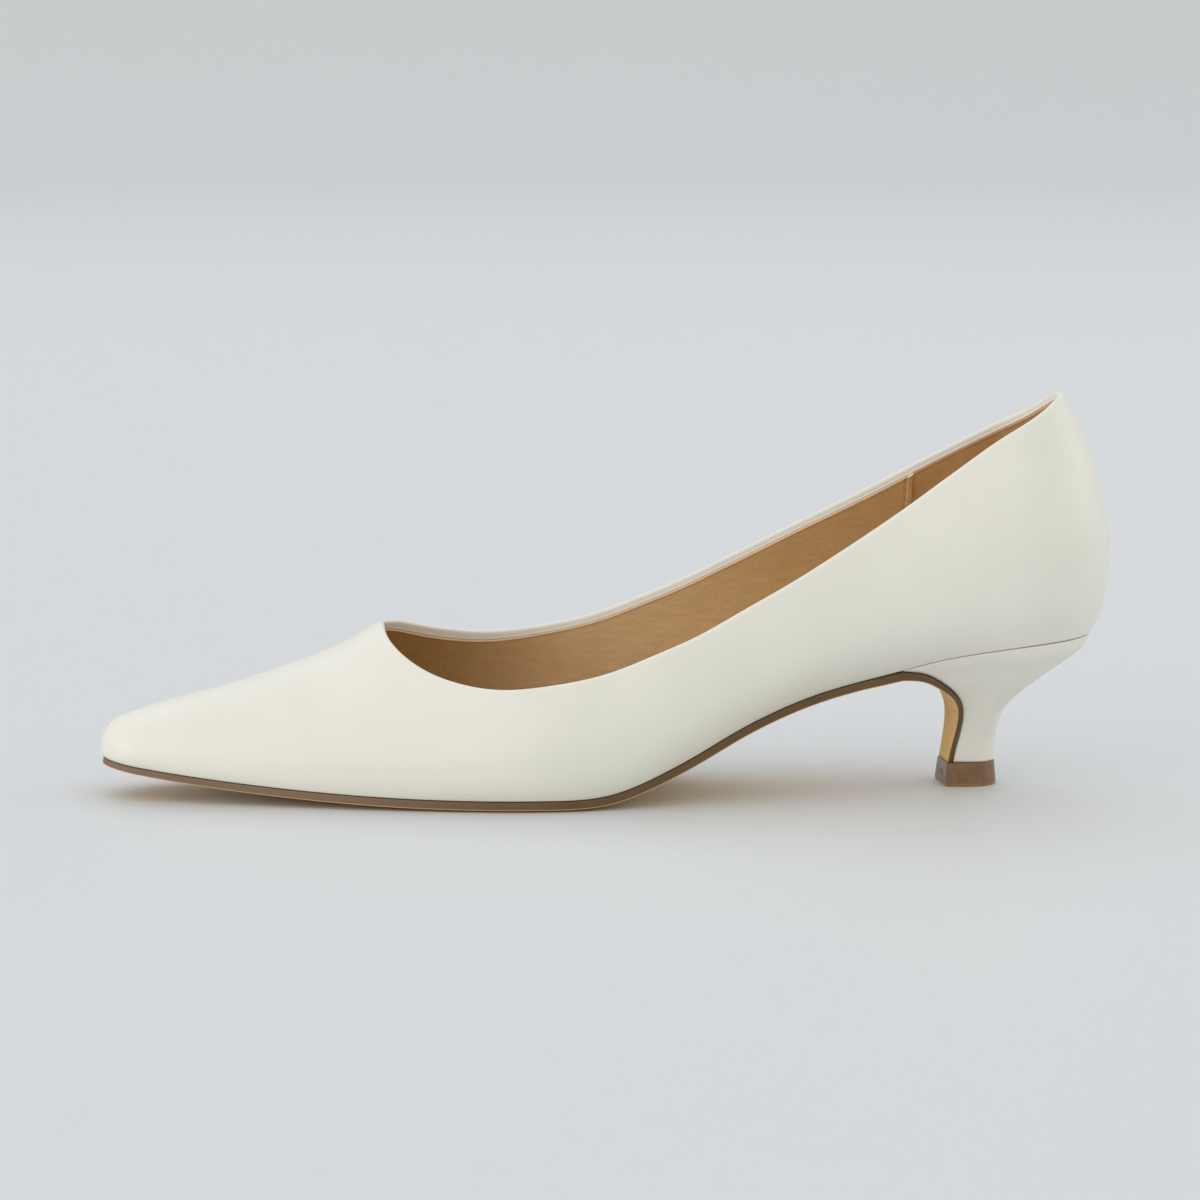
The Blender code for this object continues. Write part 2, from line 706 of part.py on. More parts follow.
def main():
    for old in list(bpy.data.objects):
        bpy.data.objects.remove(old)
    share = np.linspace(0, 1, 501)
    root = bpy.data.objects.new("shoe", None)
    root.location.y = (full[1](share).max() - full[0](share).max()) / 2  # its box is centred on y = 0
    bpy.context.scene.collection.objects.link(root)
    make_upper(root)
    make_outsole(root)
    make_insole(root)
    make_heel(root)
    make_heel_tip(root)


if __name__ == "__main__":
    main()
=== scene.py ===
"""Dresses the kitten heel pump and sets it on a pale floor.

Its pieces are the leather upper, the lining with its heel grip and stitches, the sock, the outsole, the
heel and the heel tip. The shoe is a left one. Its toe points along -X, its outer side faces -Y, and the floor
is z = 0, in metres. Shares along the shoe run from 0 at the toe tip to 1 at the back of the counter.
"""

import math

import bmesh
import bpy
import numpy as np
from bpy.props import FloatProperty, FloatVectorProperty, PointerProperty
from mathutils import Matrix, Vector


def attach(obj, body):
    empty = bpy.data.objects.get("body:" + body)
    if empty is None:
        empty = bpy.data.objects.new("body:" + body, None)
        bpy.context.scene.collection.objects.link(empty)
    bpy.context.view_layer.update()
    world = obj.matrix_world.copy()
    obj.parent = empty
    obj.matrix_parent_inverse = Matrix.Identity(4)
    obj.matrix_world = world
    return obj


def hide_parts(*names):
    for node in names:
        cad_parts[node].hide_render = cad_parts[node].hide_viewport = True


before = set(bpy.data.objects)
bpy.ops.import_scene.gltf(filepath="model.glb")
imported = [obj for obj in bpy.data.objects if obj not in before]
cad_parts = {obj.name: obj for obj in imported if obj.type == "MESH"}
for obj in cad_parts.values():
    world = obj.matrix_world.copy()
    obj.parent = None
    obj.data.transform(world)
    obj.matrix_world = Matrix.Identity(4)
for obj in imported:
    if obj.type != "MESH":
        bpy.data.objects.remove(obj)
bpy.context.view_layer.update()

bl_info = {
    "name": "Kitten Heel Pump",
    "version": (1, 0, 0),
    "blender": (4, 5, 0),
    "location": "3D View > Sidebar > Pump",
    "description": "Makes the leather, lining, sole and heel of a kitten heel pump around its solid model",
    "category": "Add Mesh",
}

# Sizes of the last and of the parts under it
LENGTH = 0.250
SOLE_WIDTH = 0.0714  # at the ball
HEEL_HEIGHT = 0.0380  # the seat's back over the floor
TOE_SPRING = 0.0078
VAMP_HEIGHT = 0.0395  # the throat over the feather line
BACK_HEIGHT = 0.0598  # the topline at the back over the feather line
UPPER_WALL = 0.0018
SOLE_THICKNESS = 0.0021
TOE_THICKNESS = 0.0016
FLAP_THICKNESS = 0.0013  # the sole down the heel's breast
SOLE_MARGIN = 0.0003  # how far the sole stands out past the feather line
EDGE_LIFT = 0.0005  # rise of the sole's edges over its middle
INSOLE_THICKNESS = 0.0026
TIP_HEIGHT = 0.0058
TIP_LIP = 0.0002  # how far the heel tip stands out past the heel
TIP_FLARE = 0.0014  # how much wider the heel tip is at the floor, on each side
TIP_RAKE = 0.0004  # the same at its front and its back
TIP_SPREAD = 1.15  # it widens this much faster than evenly, and is upright near the floor
SEAT_GAP = 0.0003  # between the heel and the parts on it
HEEL_BOTTOM = TIP_HEIGHT + SEAT_GAP
HEEL_TURN = math.radians(3.5)  # turn of the breast and the heel tip

# Places along the shoe, as shares of its length
THROAT = 0.2775
FAN_END = 0.42  # back end of the columns that fan out from the throat
FLAT_START = 0.40  # back end of the toe spring
BREAST = 0.784
SINK_START = 0.74  # where the sole starts to sink by the seat gap
HEEL_CENTRE = 0.890
FEATHER_BACK = 0.9815
TOE_ROUND_PLAN = 0.036
TOE_ROUND_SIDE = 0.018
SOLE_SETBACK = 0.0036  # of the sole's tip behind the upper's
TOE_ZONE = 0.15  # share over which the setback fades
BAND_START, BAND_RUN = 0.32, 0.16  # where the turned-in band narrows

FLAP_START = 0.4  # share of the breast's height over which the sole thins to its flap
TUCK_POWER = 2.8  # how late the upper tucks in towards the sole
ARCH_EASE = 0.3  # easing of a section's arch at its foot
SEAT_BLEND = 2.0  # how soon the heel's rings leave the seat's outline
QUARTER = math.pi / 2

# The leather's turned-in band and the lining under it
BAND_TUCK = 0.0003  # how far the band's own edge is tucked into the lining
LINING_BOTTOM = -0.8  # rise at which the lining ends
LINING_COVER, GRIP_COVER = UPPER_WALL - 0.0006, UPPER_WALL - 0.0008  # depth of their hidden faces
LINING_FACE = UPPER_WALL + 0.00002  # depth up to which the sock reaches
STRIP_FRONT, STRIP_BACK, STRIP_RISE = -0.00125, 0.00005, 0.00042  # the folded strip, from the seam
GRIP_SINK = 0.00016  # how much lower the grip lies than the lining
GRIP_OVERLAP = 5  # columns of the grip under the lining

# The lining's stitches
STITCHES = 9  # on each side
STITCH_LINE = 0.0018  # in front of the seam
FIRST_STITCH, STITCH_PITCH = 0.0012, 0.0021  # down from the band
STITCH_LENGTH, STITCH_WIDTH = 0.00135, 0.00042
STITCH_FLAT = 0.8  # thickness as a share of the width
STITCH_RINGS, STITCH_AROUND = 7, 8
SEWN_WIDTH, SEWN_DEPTH = 0.00022, 0.00016  # of the line's bell curve

# Where a colour starts to change, and the run over which it changes
VAMP_SHADE = (-0.004, 0.042)  # painted shade: the browner lining inside the vamp, where the vamp keeps light off it
HEEL_SHADE = (0.005, 0.043)  # the browner lining towards the heel, where the painted light on its middle fades out
TOE_SHADE = (0.46, 0.24)  # the sole's edge round the toe, in shares
ARRIS_GOLD = (0.0, 0.6, 1.0, 1.0)  # gold on the sole's lower arris, from its side to its face

# The heel tip's arris, and the mark on it
TIP_ARRIS = 0.0003
MARK_LEVEL = 0.0025  # height of its middle
MARK_BAR, MARK_RISE = 0.00013, 0.00011  # half sizes of its bar, along the face and off it

# Columns round the toe, along each side and from the heel's centre to the back
UPPER_COLUMNS = (104, 92, 34)
SOCK_COLUMNS = (90, 80, 31)
BACK_CLEAR = 0.045  # turn before the back seam at which the even back columns end
SEAM_CLEAR = 0.001  # share between the lining's close columns and the even ones
# Distances of the last back columns from the back seam, as turns
BACK_CLOSE = np.array([0.022, 0.016, 0.0115, 0.008, 0.005, 0.0025, 0])
# Places of the lining's close columns, in mm from its seam
SEAM_CLOSE = np.array(
    [-2.6, -2.2, -1.8, -1.5, -1.32, -1.2, -1.08, -0.9, -0.6, -0.3, -0.12, 0, 0.12, 0.3, 0.6, 1.0]
)
# Distances of the leather's lowest rows from the feather line; the next is the seam's rounding
FOOT_CLOSE = (0, 0.00003, 0.00009, 0.00018, 0.0003)
UPPER_ROWS = (13, 44, 26)  # rows below and above the widest line and down the hidden face
LINING_ROWS = 34
SOCK_ACROSS = 33
SOLE_STEPS, FLAP_STEPS, SOLE_ACROSS, EDGE_STEPS = 190, 80, 17, 6
HEEL_AROUND, HEEL_FRONT = 46, 12  # points of half a ring and across its front
SEAT_ZONE = 0.02  # share of the heel's height in which its rings stand close
SEAT_STEPS, HEEL_STEPS = 12, 104  # rings in it and below it
TIP_AROUND, TIP_FRONT_POINTS, TIP_STEPS = 26, 8, 8
BEND_STEPS = 5  # points of the heel tip's arris

# Feather line, where the upper meets the sole: half widths as shares of SOLE_WIDTH
FEATHER = (
    # share, inner, outer
    (0.00, 0.134, 0.134),
    (0.03, 0.162, 0.162),
    (0.06, 0.203, 0.203),
    (0.10, 0.248, 0.248),
    (0.15, 0.301, 0.301),
    (0.20, 0.354, 0.353),
    (0.26, 0.416, 0.413),
    (0.32, 0.461, 0.461),
    (0.37, 0.468, 0.490),
    (0.42, 0.444, 0.506),
    (0.48, 0.377, 0.489),
    (0.54, 0.297, 0.438),
    (0.60, 0.241, 0.377),
    (0.66, 0.220, 0.329),
    (0.72, 0.225, 0.301),
    (0.78, 0.246, 0.290),
    (0.84, 0.279, 0.294),
    (0.89, 0.308, 0.308),
)

# Widest line of the upper, in the same shares
FULL = (
    # share, inner, outer
    (0.00, 0.146, 0.146),
    (0.03, 0.178, 0.178),
    (0.06, 0.219, 0.219),
    (0.10, 0.266, 0.266),
    (0.15, 0.322, 0.321),
    (0.20, 0.377, 0.374),
    (0.26, 0.441, 0.437),
    (0.32, 0.490, 0.492),
    (0.37, 0.508, 0.528),
    (0.42, 0.496, 0.543),
    (0.48, 0.453, 0.533),
    (0.54, 0.408, 0.498),
    (0.60, 0.379, 0.455),
    (0.66, 0.368, 0.423),
    (0.72, 0.370, 0.406),
    (0.78, 0.379, 0.400),
    (0.84, 0.389, 0.398),
    (0.89, 0.394, 0.397),
)

# Rise of the feather line behind the ball, as a share of its rise at the back of the seat
SHANK = (
    # share, rise
    (0.45, 0.000),
    (0.475, 0.010),
    (0.50, 0.042),
    (0.54, 0.146),
    (0.58, 0.280),
    (0.62, 0.430),
    (0.66, 0.558),
    (0.70, 0.660),
    (0.74, 0.736),
    (0.784, 0.810),
    (0.82, 0.874),
    (0.86, 0.924),
    (0.90, 0.964),
    (0.94, 0.988),
    (0.98, 1.000),
)

# Sections: widest line as a share of BACK_HEIGHT, crown as a share of VAMP_HEIGHT, and the arch's power
SECTIONS = (
    # share, widest, crown, arch
    (0.00, 0.042, 0.203, 1.00),
    (0.04, 0.058, 0.327, 1.00),
    (0.08, 0.072, 0.433, 1.05),
    (0.12, 0.084, 0.524, 1.11),
    (0.16, 0.096, 0.623, 1.18),
    (0.20, 0.107, 0.732, 1.26),
    (0.24, 0.119, 0.850, 1.34),
    (0.2775, 0.130, 1.000, 1.41),
    (0.33, 0.146, 1.175, 1.44),
    (0.40, 0.168, 1.385, 1.44),
    (0.50, 0.208, 1.585, 1.42),
    (0.60, 0.247, 1.695, 1.42),
    (0.70, 0.287, 1.752, 1.43),
    (0.80, 0.326, 1.782, 1.44),
    (0.90, 0.356, 1.796, 1.45),
    (1.00, 0.368, 1.800, 1.45),
)

# Topline above the feather line, as a share of a line that runs from VAMP_HEIGHT to BACK_HEIGHT
TOPLINE = (
    # share, inner, outer
    (0.2775, 1.000, 1.000),
    (0.285, 0.982, 0.910),
    (0.300, 0.951, 0.828),
    (0.320, 0.899, 0.755),
    (0.350, 0.840, 0.690),
    (0.390, 0.796, 0.650),
    (0.430, 0.796, 0.653),
    (0.480, 0.817, 0.670),
    (0.530, 0.809, 0.662),
    (0.580, 0.770, 0.626),
    (0.630, 0.734, 0.608),
    (0.680, 0.730, 0.622),
    (0.730, 0.752, 0.679),
    (0.780, 0.790, 0.756),
    (0.830, 0.832, 0.838),
    (0.880, 0.888, 0.928),
    (0.930, 0.940, 0.984),
    (0.970, 0.978, 1.001),
    (1.000, 1.000, 1.000),
)

# Heel rings: shares along the shoe, heights as shares of the heel's, half widths as shares of SOLE_WIDTH
HEEL_RINGS = (
    # front, front_height, back, back_height, front_half, full_half
    (0.784, 1.000, 0.9815, 1.000, 0.270, 0.308),
    (0.803, 0.972, 0.9755, 0.900, 0.254, 0.286),
    (0.818, 0.905, 0.9615, 0.808, 0.232, 0.256),
    (0.8325, 0.800, 0.9425, 0.708, 0.204, 0.225),
    (0.843, 0.690, 0.9220, 0.592, 0.172, 0.190),
    (0.8485, 0.575, 0.9050, 0.483, 0.144, 0.158),
    (0.8500, 0.450, 0.8955, 0.380, 0.119, 0.130),
    (0.8485, 0.300, 0.8910, 0.262, 0.096, 0.105),
    (0.8455, 0.140, 0.8875, 0.125, 0.079, 0.087),
    (0.843, 0.000, 0.8870, 0.000, 0.070, 0.077),
)
SEAT_HALVES = [half * SOLE_WIDTH for half in HEEL_RINGS[0][4:]]
TIP_HALVES = [half * SOLE_WIDTH for half in HEEL_RINGS[-1][4:]]
TIP_FRONT, TIP_BACK = HEEL_RINGS[-1][0], HEEL_RINGS[-1][2]

# Softboxes: name, place, what it faces, width, height, power in watts and colour
LIGHTS = (
    ("toe_box", (-1.85, -0.8, 0.3), (-0.06, -0.03, 0.02), 1.3, 0.6, 9.2, (1.0, 0.93, 0.96)),
    ("heel_box", (1.6, 0.3, 0.5), (0.1, 0, 0.03), 1.2, 0.7, 2.5, (1.0, 0.98, 0.93)),
    ("back_box", (0.0, 1.9, 1.9), (0, 0.1, 0.0), 2.6, 1.4, 11.0, (0.80, 0.85, 1.0)),
)

CAMERA_TARGET = (-0.0017, 0.0468)  # x and z of the point that it faces
SENSOR_WIDTH = 36.0  # in mm
FLOOR_FRONT = -3.4  # y of the floor's front edge
FLOOR_HALF = 6.0  # half the floor's width
FLOOR_LEVEL, FLOOR_RADIUS, FLOOR_UPRIGHT = 6.0, 2.0, 4.0  # level run, turn and upright run

WELD = 2e-7  # points nearer than this are one
FIT_STEPS = 400  # steps in which curves are measured
TOE_POWER = 4  # how close the steps and columns stand at the toe tip and the throat
MIN_SLANT = 0.35  # least slant between column and topline that a distance is corrected for


# Curves of the last


def column(table, index):
    """One column of a table, as an array."""
    return np.array([row[index] for row in table])


def batten(at, values):
    """A natural cubic spline through the points, as a function; it stays level past its ends."""
    step = np.diff(at)
    slope = np.diff(values) / step
    size = len(at)
    system = np.eye(size)
    right = np.zeros(size)
    for i in range(1, size - 1):
        system[i, i - 1 : i + 2] = step[i - 1], 2 * (step[i - 1] + step[i]), step[i]
        right[i] = 6 * (slope[i] - slope[i - 1])
    bend = np.linalg.solve(system, right)

    def curve(x):
        x = np.clip(x, at[0], at[-1])
        i = np.clip(np.searchsorted(at, x, side="right") - 1, 0, size - 2)
        a = (at[i + 1] - x) / step[i]
        b = (x - at[i]) / step[i]
        chord = a * values[i] + b * values[i + 1]
        return chord + ((a**3 - a) * bend[i] + (b**3 - b) * bend[i + 1]) * step[i] ** 2 / 6

    return curve


feather = [batten(column(FEATHER, 0), column(FEATHER, i) * SOLE_WIDTH) for i in (1, 2)]
full = [batten(column(FULL, 0), column(FULL, i) * SOLE_WIDTH) for i in (1, 2)]
shank_rise = batten(column(SHANK, 0), column(SHANK, 1) * (HEEL_HEIGHT - SOLE_THICKNESS))
widest_height = batten(column(SECTIONS, 0), column(SECTIONS, 1) * BACK_HEIGHT)
crown_height = batten(column(SECTIONS, 0), column(SECTIONS, 2) * VAMP_HEIGHT)
arch_power = batten(column(SECTIONS, 0), column(SECTIONS, 3))


def throat_run(share):
    """Square root of the share of the way from the throat to the back: the topline is blunt at the throat."""
    return np.sqrt(np.clip((share - THROAT) / (1 - THROAT), 0, 1))


topline = [batten(throat_run(column(TOPLINE, 0)), column(TOPLINE, i)) for i in (1, 2)]
measured = np.linspace(0, 1, 501)
# The solid model's box is centred on y = 0, so every piece is moved sideways by this much
MIDDLE_SHIFT = (full[1](measured).max() - full[0](measured).max()) / 2


def place(share):
    """The x of a share of the length."""
    return (share - 0.5) * LENGTH


def share_of(x):
    """The share of the length at an x."""
    return x / LENGTH + 0.5


def of_side(pair, side, share):
    """The inner curve where side is +1 and the outer one where it is -1."""
    return np.where(side > 0, pair[0](share), pair[1](share))


def smooth(x):
    """An even step between 0 and 1, eased at both ends: 3 x squared less 2 x cubed."""
    return x**2 * (3 - 2 * x)


def unit(vectors):
    """The vectors at length one."""
    return vectors / np.maximum(np.linalg.norm(vectors, axis=-1, keepdims=True), 1e-12)


def between(first, second, share):
    """What lies at a share of the way from one to another."""
    return first * (1 - share) + second * share


def round_end(distance, radius):
    """Quarter circle: how far a rounded end has opened at a distance behind its tip."""
    d = np.clip(distance / radius, 0, 1)
    return np.sqrt(d * (2 - d))


def half_width(share, side, pair):
    """Half width of an outline on one side, rounded at the toe."""
    return of_side(pair, side, share) * round_end(share, TOE_ROUND_PLAN)


def outline(share, side, pair, setback=0.0):
    """Plan point of an outline on one side; setback moves it back, most at the toe tip."""
    moved = share + setback * toe_share(share, TOE_ZONE) ** 2
    return np.stack([place(moved), side * half_width(share, side, pair)], axis=-1)


def spine(share):
    """The middle line of the upper in plan, as a y."""
    return (full[0](share) - full[1](share)) / 2 * round_end(share, TOE_ROUND_PLAN)


def upper_half(share):
    """Mean half width of the upper's widest line, rounded at the toe."""
    return (full[0](share) + full[1](share)) / 2 * round_end(share, TOE_ROUND_PLAN)


def edge_lift(y):
    """Rise of the sole's edge over its middle: a square law outside the middle half."""
    outside = np.clip(np.abs(2 * y / SOLE_WIDTH) - 0.5, 0, 1)
    return EDGE_LIFT * (2 * outside) ** 2


def toe_share(share, end):
    """How far a place lies in front of an end, as a share of the way to the toe tip."""
    return np.clip(1 - share / end, 0, 1)


def sole_rise(share):
    """Height of the sole's underside: toe spring by a square law, a flat, and the shank up to the seat."""
    return TOE_SPRING * toe_share(share, FLAT_START) ** 2 + shank_rise(share)


def sole_thickness(share):
    """Thickness of the outsole, which thins from the ball to the toe tip."""
    return SOLE_THICKNESS + (TOE_THICKNESS - SOLE_THICKNESS) * toe_share(share, FLAT_START) ** 2


def feather_height(share, y):
    """Height of the sole's upper face and, behind the breast, of the heel seat."""
    return sole_thickness(share) + sole_rise(share) + edge_lift(y)


def arch(part, power):
    """Height of an arch as a share of its crown, at a sine of its angle: a power, eased at the foot."""
    eased = (part**2 + ARCH_EASE**2) / (1 + ARCH_EASE**2)
    return part * eased ** ((power - 1) / 2)


def topline_level(share, side):
    """Height of the topline above the feather line."""
    along = np.clip((share - THROAT) / (1 - THROAT), 0, 1)
    reference = between(VAMP_HEIGHT, BACK_HEIGHT, along)
    return reference * of_side(topline, side, throat_run(share))


def angle_at(share, level):
    """Angle up a section's arch at which it reaches a level above the feather line, found by halving."""
    wanted = (level - widest_height(share)) / (crown_height(share) - widest_height(share))
    low, high = np.zeros_like(wanted), np.ones_like(wanted)
    for _ in range(40):
        middle = (low + high) / 2
        under = arch(middle, arch_power(share)) < wanted
        low, high = np.where(under, middle, low), np.where(under, high, middle)
    return np.arcsin((low + high) / 2)


def turned_topline_angle(turn, side):
    """The topline's angle on the columns turned about the heel's centre, where it runs on without a bend.

    Along s, the sine of the turn, the topline's share moves by s (c + (1 - c) s squared), where c is the
    cosine of the angle beside the heel's centre, because the topline's points move that much slower there.
    """
    s = np.sin(turn)
    beside = np.full_like(s, HEEL_CENTRE)
    c = np.cos(angle_at(beside, topline_level(beside, side)))
    here = HEEL_CENTRE + (1 - HEEL_CENTRE) * s
    level_share = HEEL_CENTRE + (1 - HEEL_CENTRE) * s * (c + (1 - c) * s**2)
    drop = feather_height(here, 0) - feather_height(level_share, 0)
    return angle_at(here, topline_level(level_share, side) - drop)


def turned(turn, side, pair, back_end):
    """Plan point of an outline round the heel: a quarter ellipse about the heel's centre."""
    half = half_width(HEEL_CENTRE, side, pair)
    reach = place(back_end) - place(HEEL_CENTRE)
    middle = spine(HEEL_CENTRE)
    x = place(HEEL_CENTRE) + reach * np.sin(turn)
    return np.stack([x, middle + (side * half - middle) * np.cos(turn)], axis=-1)


# The upper's surface


def rim_plan(share, side):
    """Plan point of the topline in front of the heel's centre, and its angle up the arch."""
    angle = np.where(share > THROAT, angle_at(share, topline_level(share, side)), QUARTER)
    return np.stack([place(share), spine(share) + side * upper_half(share) * np.cos(angle)], axis=-1), angle


def spread(curve, start, shares):
    """Parameters that divide a plan curve from its start to the fan's end into shares of its length."""
    at = start + (FAN_END - start) * np.linspace(0, 1, FIT_STEPS) ** TOE_POWER
    length = np.concatenate([[0], np.cumsum(np.linalg.norm(np.diff(curve(at), axis=0), axis=1))])
    return np.interp(shares * length[-1], length, at)


class Columns:
    """The upper's columns, from the toe tip along the outer side, round the back and along the inner side.

    Each column runs in plan straight from a foot on the widest line to a point on the topline. The feet of
    the front columns go round the toe while their tops go round the throat. Behind the heel's centre the
    columns are turned about it. front is the number of front columns on each side, sides the side columns'
    shares and turns the back columns' turns.
    """

    def __init__(self, front, sides, turns):
        halves = []
        for side in (-1, 1):
            q = np.arange(front) / front
            foot = spread(lambda s: outline(s, side, full), 0, q)
            top = spread(lambda s: rim_plan(s, side)[0], THROAT, (q + q**5) / 2)
            here = HEEL_CENTRE + (1 - HEEL_CENTRE) * np.sin(turns)
            still = np.zeros(front + len(sides))
            part = {
                "foot": np.concatenate([foot, sides, here]),
                "top": np.concatenate([top, sides, here]),
                "turn": np.concatenate([still, turns]),
                "back": np.concatenate([still, np.ones(len(turns))]) > 0,
            }
            part["side"] = np.full(len(part["foot"]), float(side))
            halves.append(part)
        outer, inner = halves
        self.half = len(outer["foot"]) - 1  # index of the column straight behind the heel
        for key in outer:
            setattr(self, key, np.concatenate([outer[key], inner[key][1:-1][::-1]]))
        self._draw()

    def _draw(self):
        """Works out each column's plan points on the feather line, the widest line and the topline."""
        front_wide = outline(self.foot, self.side, full)
        front_seam = outline(self.foot, self.side, feather, SOLE_SETBACK)
        rim, angle = rim_plan(self.top, self.side)
        core = np.array([place(HEEL_CENTRE), spine(HEEL_CENTRE)])
        back = self.back[:, None]
        self.angle = np.where(self.back, turned_topline_angle(self.turn, self.side), angle)
        self.wide = np.where(back, turned(self.turn, self.side, full, 1.0), front_wide)
        self.seam = np.where(back, turned(self.turn, self.side, feather, FEATHER_BACK), front_seam)
        self.rim = np.where(back, core + (self.wide - core) * np.cos(self.angle)[:, None], rim)
        self.seam_height = feather_height(share_of(self.seam[:, 0]), self.seam[:, 1])
        self.wide_height = feather_height(self.foot, 0) + widest_height(self.foot)

    def surface(self, rise):
        """Points at a grid of rises: -1 is the feather line, 0 the widest line and 1 the topline.

        Below the widest line the height follows a sine of the rise, and the plan a power of that sine. Above
        it the plan point moves by the cosine of the arch's angle, and the height is the arch's over that
        plan point.
        """
        rise = np.broadcast_to(rise, (len(self.foot), np.shape(rise)[-1]))
        down = np.sin(np.clip(-rise, 0, 1) * QUARTER)
        plan_low = self.wide[:, None] + (self.seam - self.wide)[:, None] * (down**TUCK_POWER)[..., None]
        high_low = self.wide_height[:, None] + (self.seam_height - self.wide_height)[:, None] * down
        top = self.angle[:, None]
        angle = top * np.clip(rise, 0, 1)
        reach = (np.cos(angle) - np.cos(top)) / (1 - np.cos(top))
        plan_up = self.rim[:, None] + (self.wide - self.rim)[:, None] * reach[..., None]
        at = np.clip(share_of(plan_up[..., 0]), 0, 1)
        across = np.clip(np.abs(plan_up[..., 1] - spine(at)) / np.maximum(upper_half(at), 1e-9), 0, 1)
        part = np.where(self.back[:, None], np.sin(angle), np.sqrt(1 - across**2))
        share = np.where(self.back[:, None], self.foot[:, None], at)
        crown = (crown_height(share) - widest_height(share)) * round_end(share, TOE_ROUND_SIDE)
        high_up = feather_height(share, 0) + widest_height(share) + crown * arch(part, arch_power(share))
        low = rise < 0
        plan = np.where(low[..., None], plan_low, plan_up)
        return np.concatenate([plan, np.where(low, high_low, high_up)[..., None]], axis=-1)

    def normals(self, points, rise):
        """Unit vectors out of the surface: the cross product of its slopes along and up the columns."""
        rise = np.broadcast_to(rise, points.shape[:2])
        along = np.roll(points, -1, axis=0) - np.roll(points, 1, axis=0)
        small = 1e-3
        up = self.surface(np.minimum(rise + small, 1)) - self.surface(np.maximum(rise - small, -1))
        return unit(np.cross(along, up))

    def rise_at(self, distance):
        """The rises at which the columns are some distances below the topline, measured square to it.

        The distances are one row for all the columns, or a row for each.
        """
        rise = 1 - np.linspace(0, 1, FIT_STEPS) ** 1.5
        points = self.surface(rise)
        length = np.cumsum(np.linalg.norm(np.diff(points, axis=1), axis=-1), axis=1)
        length = np.concatenate([np.zeros((len(length), 1)), length], axis=1)
        wanted = np.atleast_2d(distance) / self.slant()[:, None]
        hit = (length[:, :, None] < wanted[:, None, :]).sum(axis=1).clip(1, FIT_STEPS - 1)
        before = np.take_along_axis(length, hit - 1, axis=1)
        after = np.take_along_axis(length, hit, axis=1)
        part = np.clip((wanted - before) / np.maximum(after - before, 1e-12), 0, 1)
        return between(rise[hit - 1], rise[hit], part)

    def rise_above_seam(self, distance):
        """The rise at which a column is a small distance above the feather line."""
        reach = np.linalg.norm(self.wide - self.seam, axis=1) * TUCK_POWER
        speed = np.hypot(reach, self.wide_height - self.seam_height)
        down = 1 - np.asarray(distance)[None] / speed[:, None]
        return -np.arcsin(np.clip(down, 0, 1)) / QUARTER

    def plan_at_height(self, lift, depth):
        """Plan points of the wall's face at a depth, at a lift above the sole's upper face."""
        rise = np.linspace(-1, 0.9, 120)[None].repeat(len(self.foot), 0)
        points = self.wall(rise, depth)
        height = points[..., 2] - feather_height(share_of(points[..., 0]), points[..., 1])
        above = height > lift
        above[:, -1] = True
        hit = np.clip(np.argmax(above, axis=1), 1, rise.shape[1] - 1)
        row = np.arange(len(hit))
        low, high = height[row, hit - 1], height[row, hit]
        part = np.clip((lift - low) / np.maximum(high - low, 1e-9), 0, 1)[:, None]
        return between(points[row, hit - 1, :2], points[row, hit, :2], part)

    def slant(self):
        """Sine of the angle between each column's top and the topline."""
        top = self.surface([0.97, 1.0])
        up = top[:, 1] - top[:, 0]
        along = np.roll(top[:, 1], -1, axis=0) - np.roll(top[:, 1], 1, axis=0)
        cross = np.linalg.norm(np.cross(up, along), axis=-1)
        return np.clip(cross / (np.linalg.norm(up, axis=-1) * np.linalg.norm(along, axis=-1)), MIN_SLANT, 1)

    def wall(self, rise, depth):
        """Points below the surface by a depth, on the same grid of rises."""
        points = self.surface(rise)
        return points - self.normals(points, rise) * np.broadcast_to(depth, points.shape[:2])[..., None]


def band_width(columns, settings):
    """How far the leather is turned in at each column: most at the throat."""
    back = np.clip((columns.top - BAND_START) / BAND_RUN, 0, 1)
    return settings.band * (1 - settings.band_narrowing * smooth(back))


def bead(columns, radius, tall):
    """The rolled edge of the topline, from the outer face over the top and down to the inner one.

    Outside it is a quarter circle of the radius. Inside it is part of a quarter ellipse, whose half height is
    tall and whose half width is the radius, down to the level of the circle's middle.
    """
    rise = columns.rise_at([radius])
    foot = columns.surface(rise)
    out = columns.normals(foot, rise)[:, 0]
    foot = foot[:, 0]
    along = unit(np.roll(foot, -1, axis=0) - np.roll(foot, 1, axis=0))
    up = np.cross(out, along)
    top = columns.surface([1.0])[:, 0] - foot
    up *= np.sign((up * top).sum(axis=-1, keepdims=True))
    middle = foot - out * radius
    run = np.linspace(0, 1, 7)
    outside = QUARTER * run[1:][None].repeat(len(foot), 0)
    inside = np.arccos(1 - radius / tall)[:, None] * run[1:-1]
    reach = radius * np.concatenate([np.cos(outside), -np.sin(inside)], axis=1)
    drop = tall[:, None] * (1 - np.cos(inside))
    lift = np.concatenate([radius * np.sin(outside), radius - drop], axis=1)
    return middle[:, None] + out[:, None] * reach[..., None] + up[:, None] * lift[..., None]


def soften(distance, radius):
    """How far a quarter-round edge lies below its face at a distance from the edge."""
    left = np.clip(1 - np.asarray(distance) / radius, 0, 1)
    return radius * (1 - np.sqrt(1 - left**2))


# Meshes


def add_object(name, data):
    """A new object in the scene."""
    thing = bpy.data.objects.new(name, data)
    bpy.context.scene.collection.objects.link(thing)
    return thing


